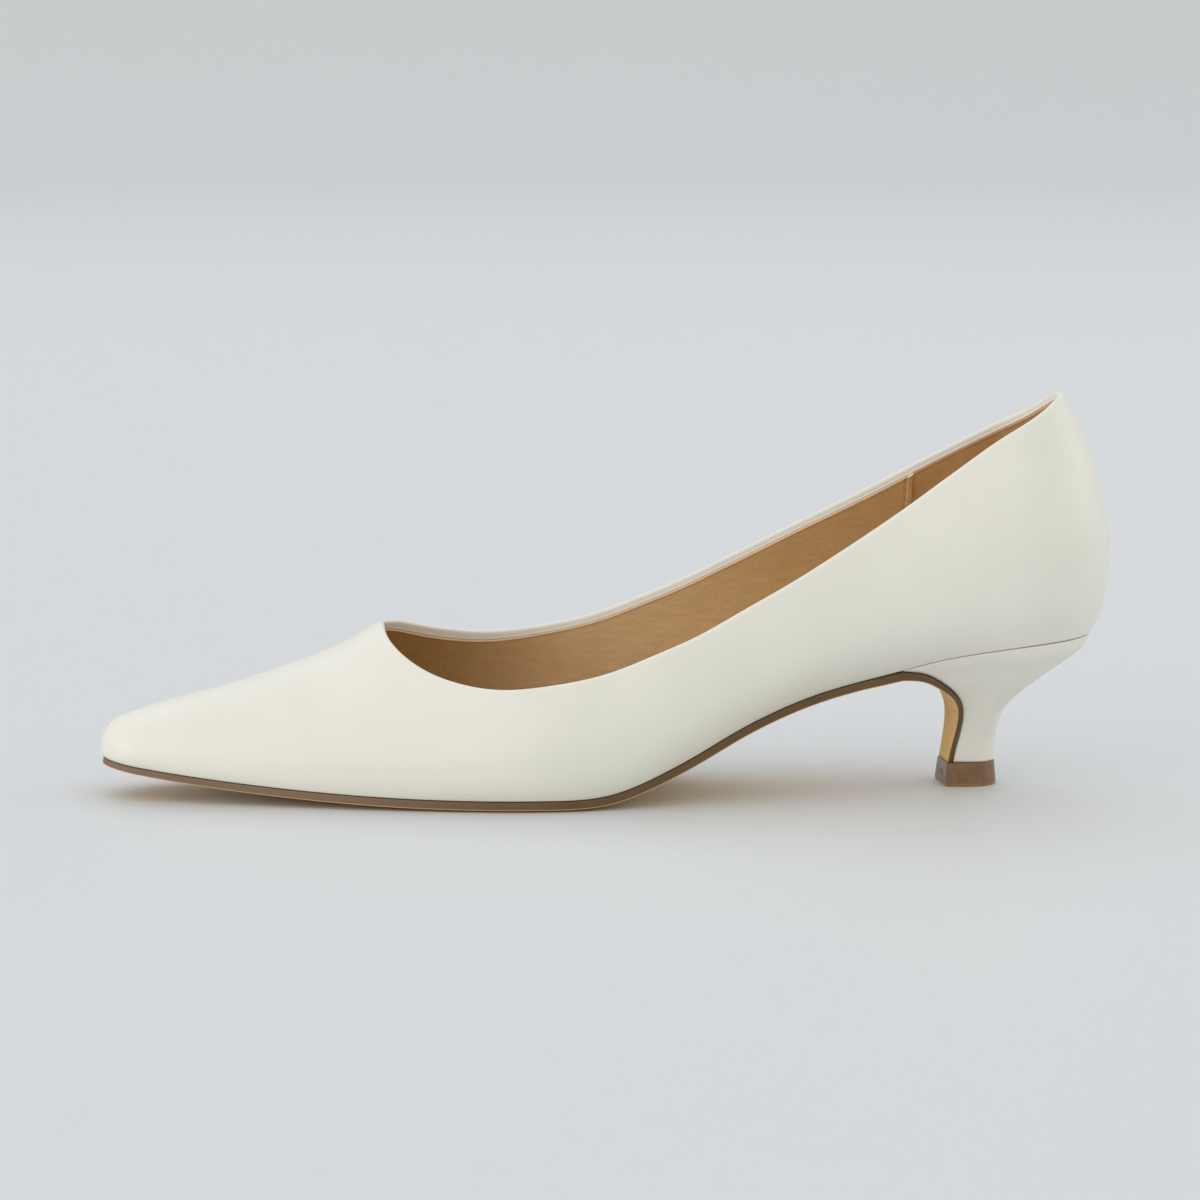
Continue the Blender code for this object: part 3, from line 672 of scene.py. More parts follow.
def grid_faces(columns, rows, wrap_columns, wrap_rows):
    """Quads of a grid of points, given row by row within each column; it wraps round where asked."""
    c = np.arange(columns if wrap_columns else columns - 1)
    r = np.arange(rows if wrap_rows else rows - 1)
    c, r = (a.ravel() for a in np.meshgrid(c, r, indexing="ij"))
    c2, r2 = (c + 1) % columns, (r + 1) % rows
    return np.stack([c * rows + r, c2 * rows + r, c2 * rows + r2, c * rows + r2], axis=1)


def piece_from(name, points, faces, material, values=None, caps=()):
    """A piece at the origin, with its double points merged and its faces turned outwards.

    values are the attributes that its material reads, and caps the faces that close its ends.
    """
    mesh = bpy.data.meshes.new(name)
    points = np.asarray(points, float).reshape(-1, 3) + np.array([0, MIDDLE_SHIFT, 0])
    mesh.from_pydata(points, [], faces.tolist() + [list(cap) for cap in caps])
    for key, value in (values or {}).items():
        layer = mesh.attributes.new(key, "FLOAT", "POINT")
        layer.data.foreach_set("value", np.asarray(value, np.float32).ravel())
    bm = bmesh.new()
    bm.from_mesh(mesh)
    bmesh.ops.remove_doubles(bm, verts=bm.verts, dist=WELD)
    bmesh.ops.dissolve_degenerate(bm, edges=bm.edges, dist=WELD / 4)
    bmesh.ops.recalc_face_normals(bm, faces=bm.faces)
    if bm.calc_volume(signed=True) < 0:
        bmesh.ops.reverse_faces(bm, faces=bm.faces)
    bm.to_mesh(mesh)
    bm.free()
    mesh.shade_smooth()
    mesh.materials.append(material)
    return add_object(name, mesh)


def swept_piece(name, section, material, values=None, closed=False, capped=False):
    """A piece from rings of points, one ring for each step along a path.

    Where closed, the path is a ring too. Where capped, a face closes each of its ends.
    """
    steps, around = section.shape[:2]
    first = np.arange(around)
    caps = (first[::-1], first + (steps - 1) * around) if capped else ()
    return piece_from(name, section, grid_faces(steps, around, closed, True), material, values, caps)


def finish_piece(piece, slot, *nodes):
    """The piece stands with the shoe and may stand for solid nodes, which it hides; slot is not used."""
    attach(piece, "root")
    if nodes:
        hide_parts(*nodes)


# Materials


def shade(colour, factor, lift=0.0):
    """A colour times a factor, plus a lift."""
    return [min(1, c * factor + lift) for c in colour]


def new_material(name, colour, roughness, **sockets):
    """A Principled material whose even values are set on its own sockets."""
    material = bpy.data.materials.new(name)
    material.use_nodes = True
    shader = material.node_tree.nodes["Principled BSDF"]
    shader.inputs["Base Color"].default_value = (*colour[:3], 1)
    shader.inputs["Roughness"].default_value = roughness
    for key, value in sockets.items():
        shader.inputs[key.replace("_", " ")].default_value = value
    return material


class Nodes:
    """Shorthand for adding nodes to one material."""

    def __init__(self, material):
        self.tree = material.node_tree
        self.shader = self.tree.nodes["Principled BSDF"]
        self.coords = self.tree.nodes.new("ShaderNodeTexCoord").outputs["Object"]

    def link(self, a, b):
        self.tree.links.new(a, b)

    def stretched(self, scale):
        """Object coordinates stretched by a scale along each axis."""
        node = self.tree.nodes.new("ShaderNodeMapping")
        node.inputs["Scale"].default_value = scale
        self.link(self.coords, node.inputs["Vector"])
        return node.outputs["Vector"]

    def noise(self, scale, detail=2.0, roughness=0.5, vector=None):
        node = self.tree.nodes.new("ShaderNodeTexNoise")
        node.inputs["Scale"].default_value = scale
        node.inputs["Detail"].default_value = detail
        node.inputs["Roughness"].default_value = roughness
        self.link(vector or self.coords, node.inputs["Vector"])
        return node.outputs["Fac"]

    def cells(self, scale, vector=None):
        node = self.tree.nodes.new("ShaderNodeTexVoronoi")
        node.inputs["Scale"].default_value = scale
        self.link(vector or self.coords, node.inputs["Vector"])
        return node.outputs["Distance"]

    def toned(self, value, colour, dark, pale=1.0, low=0.35, high=0.65):
        """Maps a value between two bounds onto a colour made darker and the same colour made paler."""
        node = self.tree.nodes.new("ShaderNodeValToRGB")
        ends = node.color_ramp.elements
        ends[0].position, ends[1].position = low, high
        ends[0].color, ends[1].color = (*shade(colour, dark), 1), (*shade(colour, pale), 1)
        self.link(value, node.inputs["Fac"])
        return node.outputs["Color"]

    def mix(self, name, first, second):
        """Mixes two colours, each a socket or a colour, by an attribute of the piece."""
        attribute = self.tree.nodes.new("ShaderNodeAttribute")
        attribute.attribute_name = name
        node = self.tree.nodes.new("ShaderNodeMix")
        node.data_type = "RGBA"
        self.link(attribute.outputs["Fac"], node.inputs["Factor"])
        for value, socket in ((first, node.inputs[6]), (second, node.inputs[7])):
            if isinstance(value, bpy.types.NodeSocket):
                self.link(value, socket)
            else:
                socket.default_value = (*value[:3], 1)
        return node.outputs[2]

    def paint(self, colour):
        """Makes a socket the material's colour."""
        self.link(colour, self.shader.inputs["Base Color"])

    def span(self, value, low, high):
        """Maps a value from 0 to 1 onto a range."""
        node = self.tree.nodes.new("ShaderNodeMapRange")
        node.inputs["To Min"].default_value = low
        node.inputs["To Max"].default_value = high
        self.link(value, node.inputs["Value"])
        return node.outputs["Result"]

    def bump(self, *heights):
        """Chains bumps, each a height, its strength and its distance."""
        normal = None
        for height, strength, distance in heights:
            node = self.tree.nodes.new("ShaderNodeBump")
            node.inputs["Strength"].default_value = strength
            node.inputs["Distance"].default_value = distance
            self.link(height, node.inputs["Height"])
            if normal:
                self.link(normal, node.inputs["Normal"])
            normal = node.outputs["Normal"]
        self.link(normal, self.shader.inputs["Normal"])


def upper_leather_material(settings):
    """Smooth ivory leather: fine pores, a faint unevenness of colour, a soft satin coat and painted shade
    along its seam with the heel.
    """
    material = new_material(
        "ivory_leather", settings.ivory, 0.46, IOR=1.46, Coat_Weight=0.12, Coat_Roughness=0.28
    )
    n = Nodes(material)
    # the seam colour is painted shade in the groove where the leather meets the heel
    n.paint(n.mix("seam", n.toned(n.noise(45, 3), settings.ivory, 0.965), settings.seam))
    n.link(n.span(n.noise(220), 0.40, 0.52), n.shader.inputs["Roughness"])
    n.bump((n.noise(1500), 0.10, 0.0002), (n.noise(60), 0.06, 0.001))
    return material


def lining_material(settings):
    """Tan lining: streaked grain, a faint mottling, painted shade browning it in the vamp, painted light
    paling its middle, and paler along its turned edge.
    """
    material = new_material("tan_lining", settings.lining, 0.5, IOR=1.45)
    n = Nodes(material)
    streaks = n.noise(1.0, 4, 0.65, n.stretched((150, 800, 800)))
    side, heel, vamp = (
        n.toned(streaks, colour, 0.86, low=0.3, high=0.7)
        for colour in (settings.lining, settings.heel_lining, settings.vamp_painted_shade)
    )
    # the vamp colour is painted shade, and the lining colour is painted light on the middle that fades to the
    # heel colour behind
    body = n.mix("vamp", n.mix("behind", side, heel), vamp)
    n.paint(n.mix("edge", body, shade(settings.lining, 0.9, 0.17)))
    n.bump((n.cells(1400), 0.4, 0.0002), (streaks, 0.25, 0.0003))
    return material


def grip_material(settings):
    """Napped heel grip: a short suede pile with brushed light and dark patches."""
    material = new_material(
        "suede_grip", settings.grip, 0.9, IOR=1.4, Sheen_Weight=0.25, Sheen_Roughness=0.5
    )
    n = Nodes(material)
    body = n.toned(n.noise(90, 5, 0.65), settings.grip, 0.78, 1.1, high=0.68)
    n.paint(n.mix("edge", body, shade(settings.grip, 1.0, 0.16)))
    n.bump((n.noise(2600, 4, 0.7), 0.3, 0.0002))
    return material


def sock_material(settings):
    """Insole sock: tan leather with a soft grain."""
    material = new_material("insole_sock", settings.sock, 0.5, IOR=1.45)
    n = Nodes(material)
    n.paint(n.toned(n.noise(120, 4, 0.6), settings.sock, 0.88))
    n.bump((n.cells(1500), 0.16, 0.0002), (n.noise(300, 3), 0.08, 0.0004))
    return material


def sole_material(settings):
    """Outsole: a golden tan face, a painted brown edge and a thin golden arris between them."""
    material = new_material("sole_unit", settings.sole_face, 0.55, IOR=1.45, Specular_IOR_Level=0.2)
    n = Nodes(material)
    face = n.toned(n.noise(70, 4, 0.6), settings.sole_face, 0.88)
    edge = n.mix("front", n.toned(n.noise(160, 3), settings.sole_edge, 0.84), settings.toe_edge)
    n.paint(n.mix("arris", n.mix("painted", face, edge), settings.arris))
    n.bump((n.noise(900, 3), 0.06, 0.0002), (n.noise(120), 0.05, 0.0006))
    return material


def tip_material(settings):
    """Heel tip: moulded brown plastic with faint upright lighter and darker streaks and a paler lower arris.
    """
    material = new_material(
        "moulded_tip", settings.tip, 0.34, IOR=1.45, Coat_Weight=0.1, Coat_Roughness=0.12
    )
    n = Nodes(material)
    marks = n.noise(1.0, 3, 0.6, n.stretched((900, 900, 30)))
    # a paler colour, 1.7 times the tip's, on the rows that are lightened
    n.paint(n.mix("lightened", n.toned(marks, settings.tip, 0.86, 1.25, high=0.68), shade(settings.tip, 1.7)))
    n.bump((marks, 0.12, 0.0002), (n.noise(420), 0.04, 0.0003))
    return material


# Pieces of the upper


def side_shares(count, seam_place=None):
    """Shares of the side columns; those of the lining stand close together at its seam."""
    shares = np.linspace(FAN_END, HEEL_CENTRE, count, endpoint=False)
    if seam_place is None:
        return shares
    close = share_of(seam_place + SEAM_CLOSE / 1000)
    ahead, behind = shares[shares < close[0] - SEAM_CLEAR], shares[shares > close[-1] + SEAM_CLEAR]
    return np.concatenate([ahead, close, behind])


def upper_columns(seam_place=None):
    """The leather's columns or, with a seam's place, the lining's, close together at the back seam."""
    front, sides, back = UPPER_COLUMNS
    turns = np.concatenate([np.linspace(0, QUARTER - BACK_CLEAR, back), QUARTER - BACK_CLOSE])
    return Columns(front, side_shares(sides, seam_place), turns)


def rows_between(columns, start, end, count):
    """Rises from one to another for every column; either may be one number or one for each column."""
    start, end = (np.broadcast_to(np.reshape(at, (-1, 1)), (len(columns.foot), 1)) for at in (start, end))
    return start + (end - start) * np.linspace(0, 1, count)


def make_upper(settings):
    """The leather: its outer face, the rolled topline, the turned-in band, and its hidden inner face.

    Its outer face is the columns' surface, which falls away in a quarter round towards the sole and the heel,
    and sinks along the closed seam behind the heel by a bell curve of the distance from it.
    """
    columns = upper_columns()
    radius = UPPER_WALL / 2
    width = band_width(columns, settings)
    tall = width - BAND_TUCK
    band = columns.rise_at(np.stack([np.full_like(width, radius), tall, width], axis=1))
    close = np.array([*FOOT_CLOSE, settings.seam_round])
    foot = columns.rise_above_seam(close)
    lower = rows_between(columns, foot[:, -1], 0, UPPER_ROWS[0])[:, 1:-1]
    upper = rows_between(columns, 0, band[:, 0], UPPER_ROWS[1])
    even = np.zeros(lower.shape[1] + upper.shape[1])
    fall = np.concatenate([soften(close, settings.seam_round), even])
    behind = np.where(columns.back, (QUARTER - columns.turn) * full[0](HEEL_CENTRE), 1.0)
    groove = settings.back_seam * np.exp(-((behind / (1.6 * settings.back_seam)) ** 2))
    outer = columns.wall(np.concatenate([foot, lower, upper], axis=1), fall[None] + groove[:, None])
    run = np.linspace(0, 1, 6)
    left = (1 - radius / tall)[:, None] * (1 - run)
    depth = UPPER_WALL - radius * (1 - np.sqrt(1 - left**2)) + settings.band_lean * run**1.5
    turned_in = columns.wall(rows_between(columns, band[:, 0], band[:, 1], len(run)), depth)
    lip = columns.wall(band[:, 2:3], [[UPPER_WALL - BAND_TUCK]])
    hidden = columns.wall(rows_between(columns, band[:, 2], -1, UPPER_ROWS[2]), settings.leather)
    section = np.concatenate([outer, bead(columns, radius, tall), turned_in, lip, hidden], axis=1)
    # painted shade along the leather's lowest rows behind the breast, fading upwards from the heel
    seam = np.zeros(section.shape[:2])
    seam[:, : len(close)] = (1 - close / close[-1])[None] * (columns.foot > BREAST)[:, None]
    material = upper_leather_material(settings)
    piece = swept_piece("upper_leather", section, material, {"seam": seam}, closed=True)
    finish_piece(piece, "upper_ivory", "upper")


def lining_sheet(columns, pick, band, cover, edge, swell=0.0):
    """A closed sheet of lining over some columns, from below the topline down, and its edge's paleness.

    edge gives the distance below the band, the depth and the paleness of rows down its turned upper edge.
    Below them the sheet lies at an even depth, to which swell adds for each column. Its outer face lies at
    the depth cover, and each of its ends closes on its own middle.
    """
    below, depths, pale = np.array(edge).T
    down = columns.rise_at(band[:, None] + below)
    last = rows_between(columns, down[:, -1], LINING_BOTTOM, LINING_ROWS)[:, 1:]
    rise = np.concatenate([down, last], axis=1)
    depth = np.concatenate([depths, np.full(last.shape[1], depths[-1])])[None] + np.reshape(swell, (-1, 1))
    inner = columns.wall(rise, depth)
    outer = columns.wall(rise[:, ::-1], cover)
    pale = np.concatenate([pale, np.zeros(last.shape[1] + rise.shape[1])])
    section = np.concatenate([inner, outer], axis=1)[pick]
    middle = (section + section[:, ::-1]) / 2
    section[[0, -1]] = middle[[0, -1]]
    return section, np.broadcast_to(pale, section.shape[:2])


def column_near(columns, x, side):
    """Index of the column in front of the heel's centre whose foot is nearest to an x on one side."""
    far = np.abs(place(columns.foot) - x) + np.where(columns.back | (columns.side != side), 1.0, 0)
    return int(np.argmin(far))


def stitches(at, along, out):
    """Points of stitches that lie in the leather: each a spindle of rings, thickest in its middle.

    A ring's radius follows the square root of one less the square of its place along the stitch, and it is a
    little flat across the leather.
    """
    step = np.linspace(-1, 1, STITCH_RINGS)[:, None]
    turn = np.arange(STITCH_AROUND) * 2 * math.pi / STITCH_AROUND
    radius = STITCH_WIDTH / 2 * np.sqrt(np.clip(1 - step**2, 0.02, 1))
    middle = at[:, None] + along[:, None] * (step * STITCH_LENGTH / 2)
    side = np.cross(along, out)
    spoke = side[:, None] * np.cos(turn)[:, None] + out[:, None] * np.sin(turn)[:, None] * STITCH_FLAT
    return middle[:, :, None] + spoke[:, None] * radius[..., None]


def make_lining(settings):
    """The lining round the vamp and the quarters, and the napped grip round the heel, with their stitches.

    The lining's upper edge is a thin turned bead. At its back ends it is folded to a raised strip, in front
    of which it is stitched, and the grip lies lower behind it. The stitched line sinks by a bell curve.
    """
    columns = upper_columns(settings.seam_place)
    band, lean = band_width(columns, settings), settings.band_lean
    edge = (
        # distance below the band, depth, paleness
        (-0.0003, UPPER_WALL - 0.0004, 1.0),
        (-0.00012, UPPER_WALL + lean - 0.00005, 1.0),
        (0.00002, UPPER_WALL + lean + 0.0001, 1.0),
        (0.00018, UPPER_WALL + lean + 0.00016, 1.0),
        (0.00036, UPPER_WALL + lean + 0.0001, 0.9),
        (0.0005, UPPER_WALL + lean - 0.00004, 0.25),
        (0.0008, UPPER_WALL + lean - 0.00012, 0.0),
        (0.0014, UPPER_WALL + lean - 0.0001, 0.0),
        (0.0024, UPPER_WALL + lean * 0.7, 0.0),
        (0.0042, UPPER_WALL + 0.0001 + lean * 0.2, 0.0),
        (0.0062, UPPER_WALL + 0.0001, 0.0),
    )
    outer, inner = (column_near(columns, settings.seam_place, side) for side in (-1, 1))
    beyond = place(columns.foot) - settings.seam_place
    strip = (beyond > STRIP_FRONT) & (beyond < STRIP_BACK) & ~columns.back
    sewn = np.exp(-(((beyond + STITCH_LINE) / SEWN_WIDTH) ** 2)) * ~columns.back
    front = np.concatenate([np.arange(inner, len(columns.foot)), np.arange(outer + 1)])
    swell = STRIP_RISE * strip - SEWN_DEPTH * sewn
    section, pale = lining_sheet(columns, front, band, LINING_COVER, edge, swell)
    # painted shade: the lining browns towards the toe inside the vamp
    vamp = np.clip((VAMP_SHADE[0] - section[..., 0]) / VAMP_SHADE[1], 0, 1)
    # behind: the painted light on the lining's middle gives way to the browner heel colour
    behind = np.clip((section[..., 0] - HEEL_SHADE[0]) / HEEL_SHADE[1], 0, 1)
    values = {"edge": pale, "vamp": smooth(vamp), "behind": behind}
    piece = swept_piece("quarter_lining", section, lining_material(settings), values)
    finish_piece(piece, "insole_tan")

    sunk = [(below, depth - GRIP_SINK, paleness * 0.9) for below, depth, paleness in edge]
    back = np.arange(outer - GRIP_OVERLAP, inner + GRIP_OVERLAP + 1)
    section, pale = lining_sheet(columns, back, band, GRIP_COVER, sunk)
    piece = swept_piece("heel_grip", section, grip_material(settings), {"edge": pale})
    finish_piece(piece, "insole_tan")

    make_stitches(columns, band, settings)


def make_stitches(columns, band, settings):
    """The stitches in front of the lining's seam, evenly down it on both sides of the shoe."""
    seam = [column_near(columns, settings.seam_place - STITCH_LINE, side) for side in (-1, 1)]
    rise = columns.rise_at(band[:, None] + FIRST_STITCH + STITCH_PITCH * np.arange(STITCHES))
    at = columns.wall(rise, UPPER_WALL - 0.00002)[seam]
    out = -columns.normals(columns.surface(rise), rise)[seam]
    along = unit(np.gradient(at, axis=1))
    points = stitches(*(value.reshape(-1, 3) for value in (at, along, out)))
    count = STITCH_RINGS * STITCH_AROUND
    start = count * np.arange(len(points))[:, None, None]
    faces = (grid_faces(STITCH_RINGS, STITCH_AROUND, False, True) + start).reshape(-1, 4)
    ends = np.arange(count).reshape(STITCH_RINGS, STITCH_AROUND)[[0, -1]]
    caps = (ends + start).reshape(-1, STITCH_AROUND)
    material = new_material("lining_thread", settings.thread, 0.7)
    finish_piece(piece_from("seam_stitches", points, faces, material, caps=caps), "insole_tan")


def make_insole(settings):
    """The sock on the insole board: a sheet that fills the shoe from wall to wall.

    Its outline is where the lining's face stands at the sock's own height. Across the shoe its upper face
    rises from that outline in a quarter round and is flat between.
    """
    front, sides, back = SOCK_COLUMNS
    columns = Columns(front, side_shares(sides), np.linspace(0, QUARTER, back))
    side_height = SEAT_GAP + INSOLE_THICKNESS - settings.sock_round
    inner = np.concatenate([[0], np.arange(len(columns.foot) - 1, columns.half - 1, -1)])
    outer = np.arange(columns.half + 1)
    run = np.sin(np.linspace(-QUARTER, QUARTER, SOCK_ACROSS))
    across = ((1 + run) / 2)[None, :, None]

    def face(lift, height):
        """Points across the shoe at a height, inside the wall's outline at a lift."""
        wall = columns.plan_at_height(lift, LINING_FACE)
        plan = between(wall[outer][:, None], wall[inner][:, None], across)
        base = feather_height(share_of(plan[..., 0]), plan[..., 1])
        return np.concatenate([plan, (base + height)[..., None]], axis=-1)

    under = face(SEAT_GAP + 0.0001, SEAT_GAP)
    over = face(side_height, side_height)
    width = np.linalg.norm(over[:, -1, :2] - over[:, 0, :2], axis=1)[:, None]
    border = (1 - np.abs(run))[None] / 2 * width
    over[..., 2] += settings.sock_round - soften(border, settings.sock_round * 2) / 2
    section = np.concatenate([over, under[:, ::-1]], axis=1)
    finish_piece(swept_piece("insole_sock", section, sock_material(settings)), "insole_tan", "insole")


# Sole and heel


def heel_middle(share):
    """The heel's own middle line in plan, which the feather line sets at the seat."""
    return (feather[0](share) - feather[1](share)) / 2


def ring_column(levels, index):
    """One column of the heel's rings at levels from 0 at the seat to 1 at the heel tip, by a spline."""
    even = np.linspace(0, 1, len(HEEL_RINGS))
    return batten(even, column(HEEL_RINGS, index))(levels)


def turned_breast(y, levels):
    """How far a point of the heel lies towards the back because its breast is turned: y times the turn."""
    return -(y - heel_middle(HEEL_CENTRE)) * math.tan(HEEL_TURN) * levels


def breast_path(levels):
    """The heel's front edge, seat to heel tip: x, height and half width at each level."""
    height = HEEL_BOTTOM + (feather_height(BREAST, 0) - HEEL_BOTTOM) * ring_column(levels, 1)
    return place(ring_column(levels, 0)), height, ring_column(levels, 4) * SOLE_WIDTH


def edge_normals(path, sign):
    """Plan directions square to a path; sign is 1 where the outside lies on its right."""
    along = unit(np.gradient(path, axis=0))
    return sign * np.stack([along[:, 1], -along[:, 0]], axis=1)


def make_outsole(settings):
    """The outsole: a sheet swept from the toe tip under the foot and down the heel's breast.

    A section across it is a flat band with quarter-round arrises. Its middle line follows the feather line's
    heights, and its half widths are the feather line's and then the breast's.
    """
    share = BREAST * np.linspace(0, 1, SOLE_STEPS) ** 1.6
    levels = np.linspace(0, 1, FLAP_STEPS)[1:]
    foot = len(share)
    arris = settings.arris_radius
    bend = np.linspace(0, QUARTER, 4)
    x, height, half = breast_path(levels)
    middle = between(heel_middle(BREAST), heel_middle(HEEL_CENTRE), levels)
    flap = SOLE_THICKNESS + (FLAP_THICKNESS - SOLE_THICKNESS) * np.clip(levels / FLAP_START, 0, 1)
    thick = np.concatenate([sole_thickness(share), flap])

    def edge(path, out):
        """Rows down one edge: plan points, drop below the top as a share, paint and gold."""
        reach = SOLE_MARGIN - arris * (1 - np.sin(bend))
        drop = arris * (1 - np.cos(bend))
        for i in range(len(bend)):
            yield path + out * reach[i], drop[i] / thick, 1.0, 0.0
        for step in np.linspace(0, 1, EDGE_STEPS)[1:-1]:
            yield path + out * SOLE_MARGIN, (arris + step * (thick - 2 * arris)) / thick, 1.0, 0.0
        for i, gold in zip(range(len(bend))[::-1], ARRIS_GOLD):
            yield path + out * reach[i], 1 - drop[i] / thick, 1.0 - gold, gold

    paths, edges = [], []
    for side in (-1, 1):
        under_foot = outline(share, side, feather, SOLE_SETBACK)
        path = np.concatenate([under_foot, np.stack([x, middle + side * half], axis=-1)])
        out = np.concatenate([edge_normals(under_foot, -side), np.tile((0.0, side), (len(x), 1))])
        paths.append(path)
        edges.append(list(edge(path, out)))
    flat = [between(*paths, across) for across in np.linspace(0, 1, SOLE_ACROSS)[1:-1]]
    rows = [(plan, np.zeros(len(plan)), 0.0, 0.0) for plan in flat] + edges[1]
    rows += [(plan, np.ones(len(plan)), 0.0, 0.0) for plan in flat[::-1]] + edges[0][::-1]
    plan = np.stack([row[0] for row in rows], axis=1)
    drop = np.stack([row[1] for row in rows], axis=1)
    shape = drop.shape

    # the sheet hangs from the feather line and the breast, square to their side view
    level = np.concatenate([feather_height(share, 0), height])
    along = unit(np.gradient([np.concatenate([place(share), x]), level], axis=1).T)
    down = np.stack([along[:, 1], np.zeros(len(along)), -along[:, 0]], axis=-1)
    down[:3] = down[3]
    sink = np.clip((share - SINK_START) / (BREAST - SINK_START), 0, 1)
    gap = SEAT_GAP * np.concatenate([sink, np.ones(len(levels))])
    z = np.broadcast_to(np.concatenate([np.zeros(foot), height])[:, None], shape).copy()
    z[:foot] = feather_height(share_of(plan[:foot, :, 0]), plan[:foot, :, 1])
    plan[foot:, :, 0] += turned_breast(plan[foot:, :, 1], levels[:, None])
    fall = gap[:, None] + thick[:, None] * drop
    section = np.concatenate([plan, z[..., None]], axis=-1) + down[:, None] * fall[..., None]
    section[-1, :, 2] = TIP_HEIGHT + SEAT_GAP / 2
    front = np.clip((TOE_SHADE[0] - share) / TOE_SHADE[1], 0, 1)
    front = np.concatenate([front, np.zeros(len(levels))])
    values = {
        "painted": np.broadcast_to([row[2] for row in rows], shape),
        "arris": np.broadcast_to([row[3] for row in rows], shape),
        "front": np.broadcast_to(front[:, None], shape),
    }
    piece = swept_piece("sole_unit", section, sole_material(settings), values, capped=True)
    finish_piece(piece, "sole_brown", "outsole")


def d_half(run, front_half, full_half):
    """Half width of a D from its flat front to its round back: it swells to the middle, then rounds off."""
    swelling = front_half + (full_half - front_half) * np.sin(np.pi * np.clip(run, 0, 0.5))
    rounding = full_half * np.sqrt(np.clip(1 - (2 * run - 1) ** 2, 0, 1))
    return np.where(run < 0.5, swelling, rounding)


def seat_half(x, side):
    """Half width of the feather line round the heel seat."""
    straight = half_width(share_of(x), side, feather)
    behind = np.clip((x - place(HEEL_CENTRE)) / (place(FEATHER_BACK) - place(HEEL_CENTRE)), 0, 1)
    rounded = half_width(HEEL_CENTRE, side, feather) * np.sqrt(1 - behind**2)
    return np.where(x < place(HEEL_CENTRE), straight, rounded)


def closed_rings(outer, inner, count):
    """Rings from two halves that meet at the back, with points spread evenly across the front."""
    even = np.linspace(0, 1, count)[1:-1, None]
    front = between(inner[..., :1, :], outer[..., :1, :], even)
    return np.concatenate([outer, inner[..., :-1, :][..., ::-1, :], front], axis=-2)


def make_heel(settings):
    """The wrapped heel: D-shaped rings from the seat's outline down to the heel tip, rounded off at the seat.

    The rings' places, heights and half widths are splines through the table. The widths leave the seat's own
    outline by a power of the level.
    """
    run = np.sin(np.linspace(0, QUARTER, HEEL_AROUND))[None]
    at_seat = np.linspace(0, SEAT_ZONE, SEAT_STEPS, endpoint=False)
    level = np.concatenate([at_seat, np.linspace(SEAT_ZONE, 1, HEEL_STEPS)])[:, None]
    front_x, front_z, front_half = (value[:, None] for value in breast_path(level[:, 0]))
    back_x = place(ring_column(level, 2))
    back_z = HEEL_BOTTOM + (feather_height(FEATHER_BACK, 0) - HEEL_BOTTOM) * ring_column(level, 3)
    full_half = ring_column(level, 5) * SOLE_WIDTH
    seat_x = place(BREAST) + run * (place(FEATHER_BACK) - place(BREAST))
    seat_z = feather_height(share_of(seat_x), 0)
    slope = (seat_z - seat_z[:, :1]) / (seat_z[:, -1:] - seat_z[:, :1])
    x = between(front_x, back_x, run)
    z = front_z + slope * (back_z - front_z)
    to_seat = (1 - level) ** SEAT_BLEND
    halves = []
    for side in (-1, 1):
        widening = (seat_half(seat_x, side) - d_half(run, *SEAT_HALVES)) * to_seat
        y = side * (d_half(run, front_half, full_half) + widening)
        shift = turned_breast(y, level) * (1 - run)
        halves.append(np.stack([x + shift, y, z + edge_lift(y) * to_seat], axis=-1))
    section = closed_rings(*halves, HEEL_FRONT)
    section[-1, :, 2] = TIP_HEIGHT + SEAT_GAP / 3
    round_it = np.roll(section, -1, axis=1) - np.roll(section, 1, axis=1)
    out = unit(np.cross(np.gradient(section, axis=0), round_it))
    steps = np.linalg.norm(np.diff(section, axis=0), axis=-1)
    far = np.concatenate([np.zeros((1, section.shape[1])), np.cumsum(steps, axis=0)])
    away = section - section.mean(axis=1, keepdims=True)
    out *= np.sign((out * away).sum(axis=-1))[..., None]
    section = section - out * soften(far, settings.seam_round)[..., None]
    # painted shade along the heel's top, where it meets the leather
    values = {"seam": np.clip(1 - far / (settings.seam_round / 2), 0, 1)}
    piece = swept_piece("heel_wrap", section, upper_leather_material(settings), values, capped=True)
    finish_piece(piece, "heel_ivory", "heel")


def tip_spread(height):
    """How far the heel tip has widened at a height, from 0 at its top to 1 near the floor."""
    return np.clip(TIP_SPREAD * (1 - height / TIP_HEIGHT), 0, 1)


def tip_front(height):
    """The x of the heel tip's front face at a height, before its turn."""
    return place(TIP_FRONT) - SEAT_GAP - FLAP_THICKNESS - TIP_LIP - TIP_RAKE * tip_spread(height)


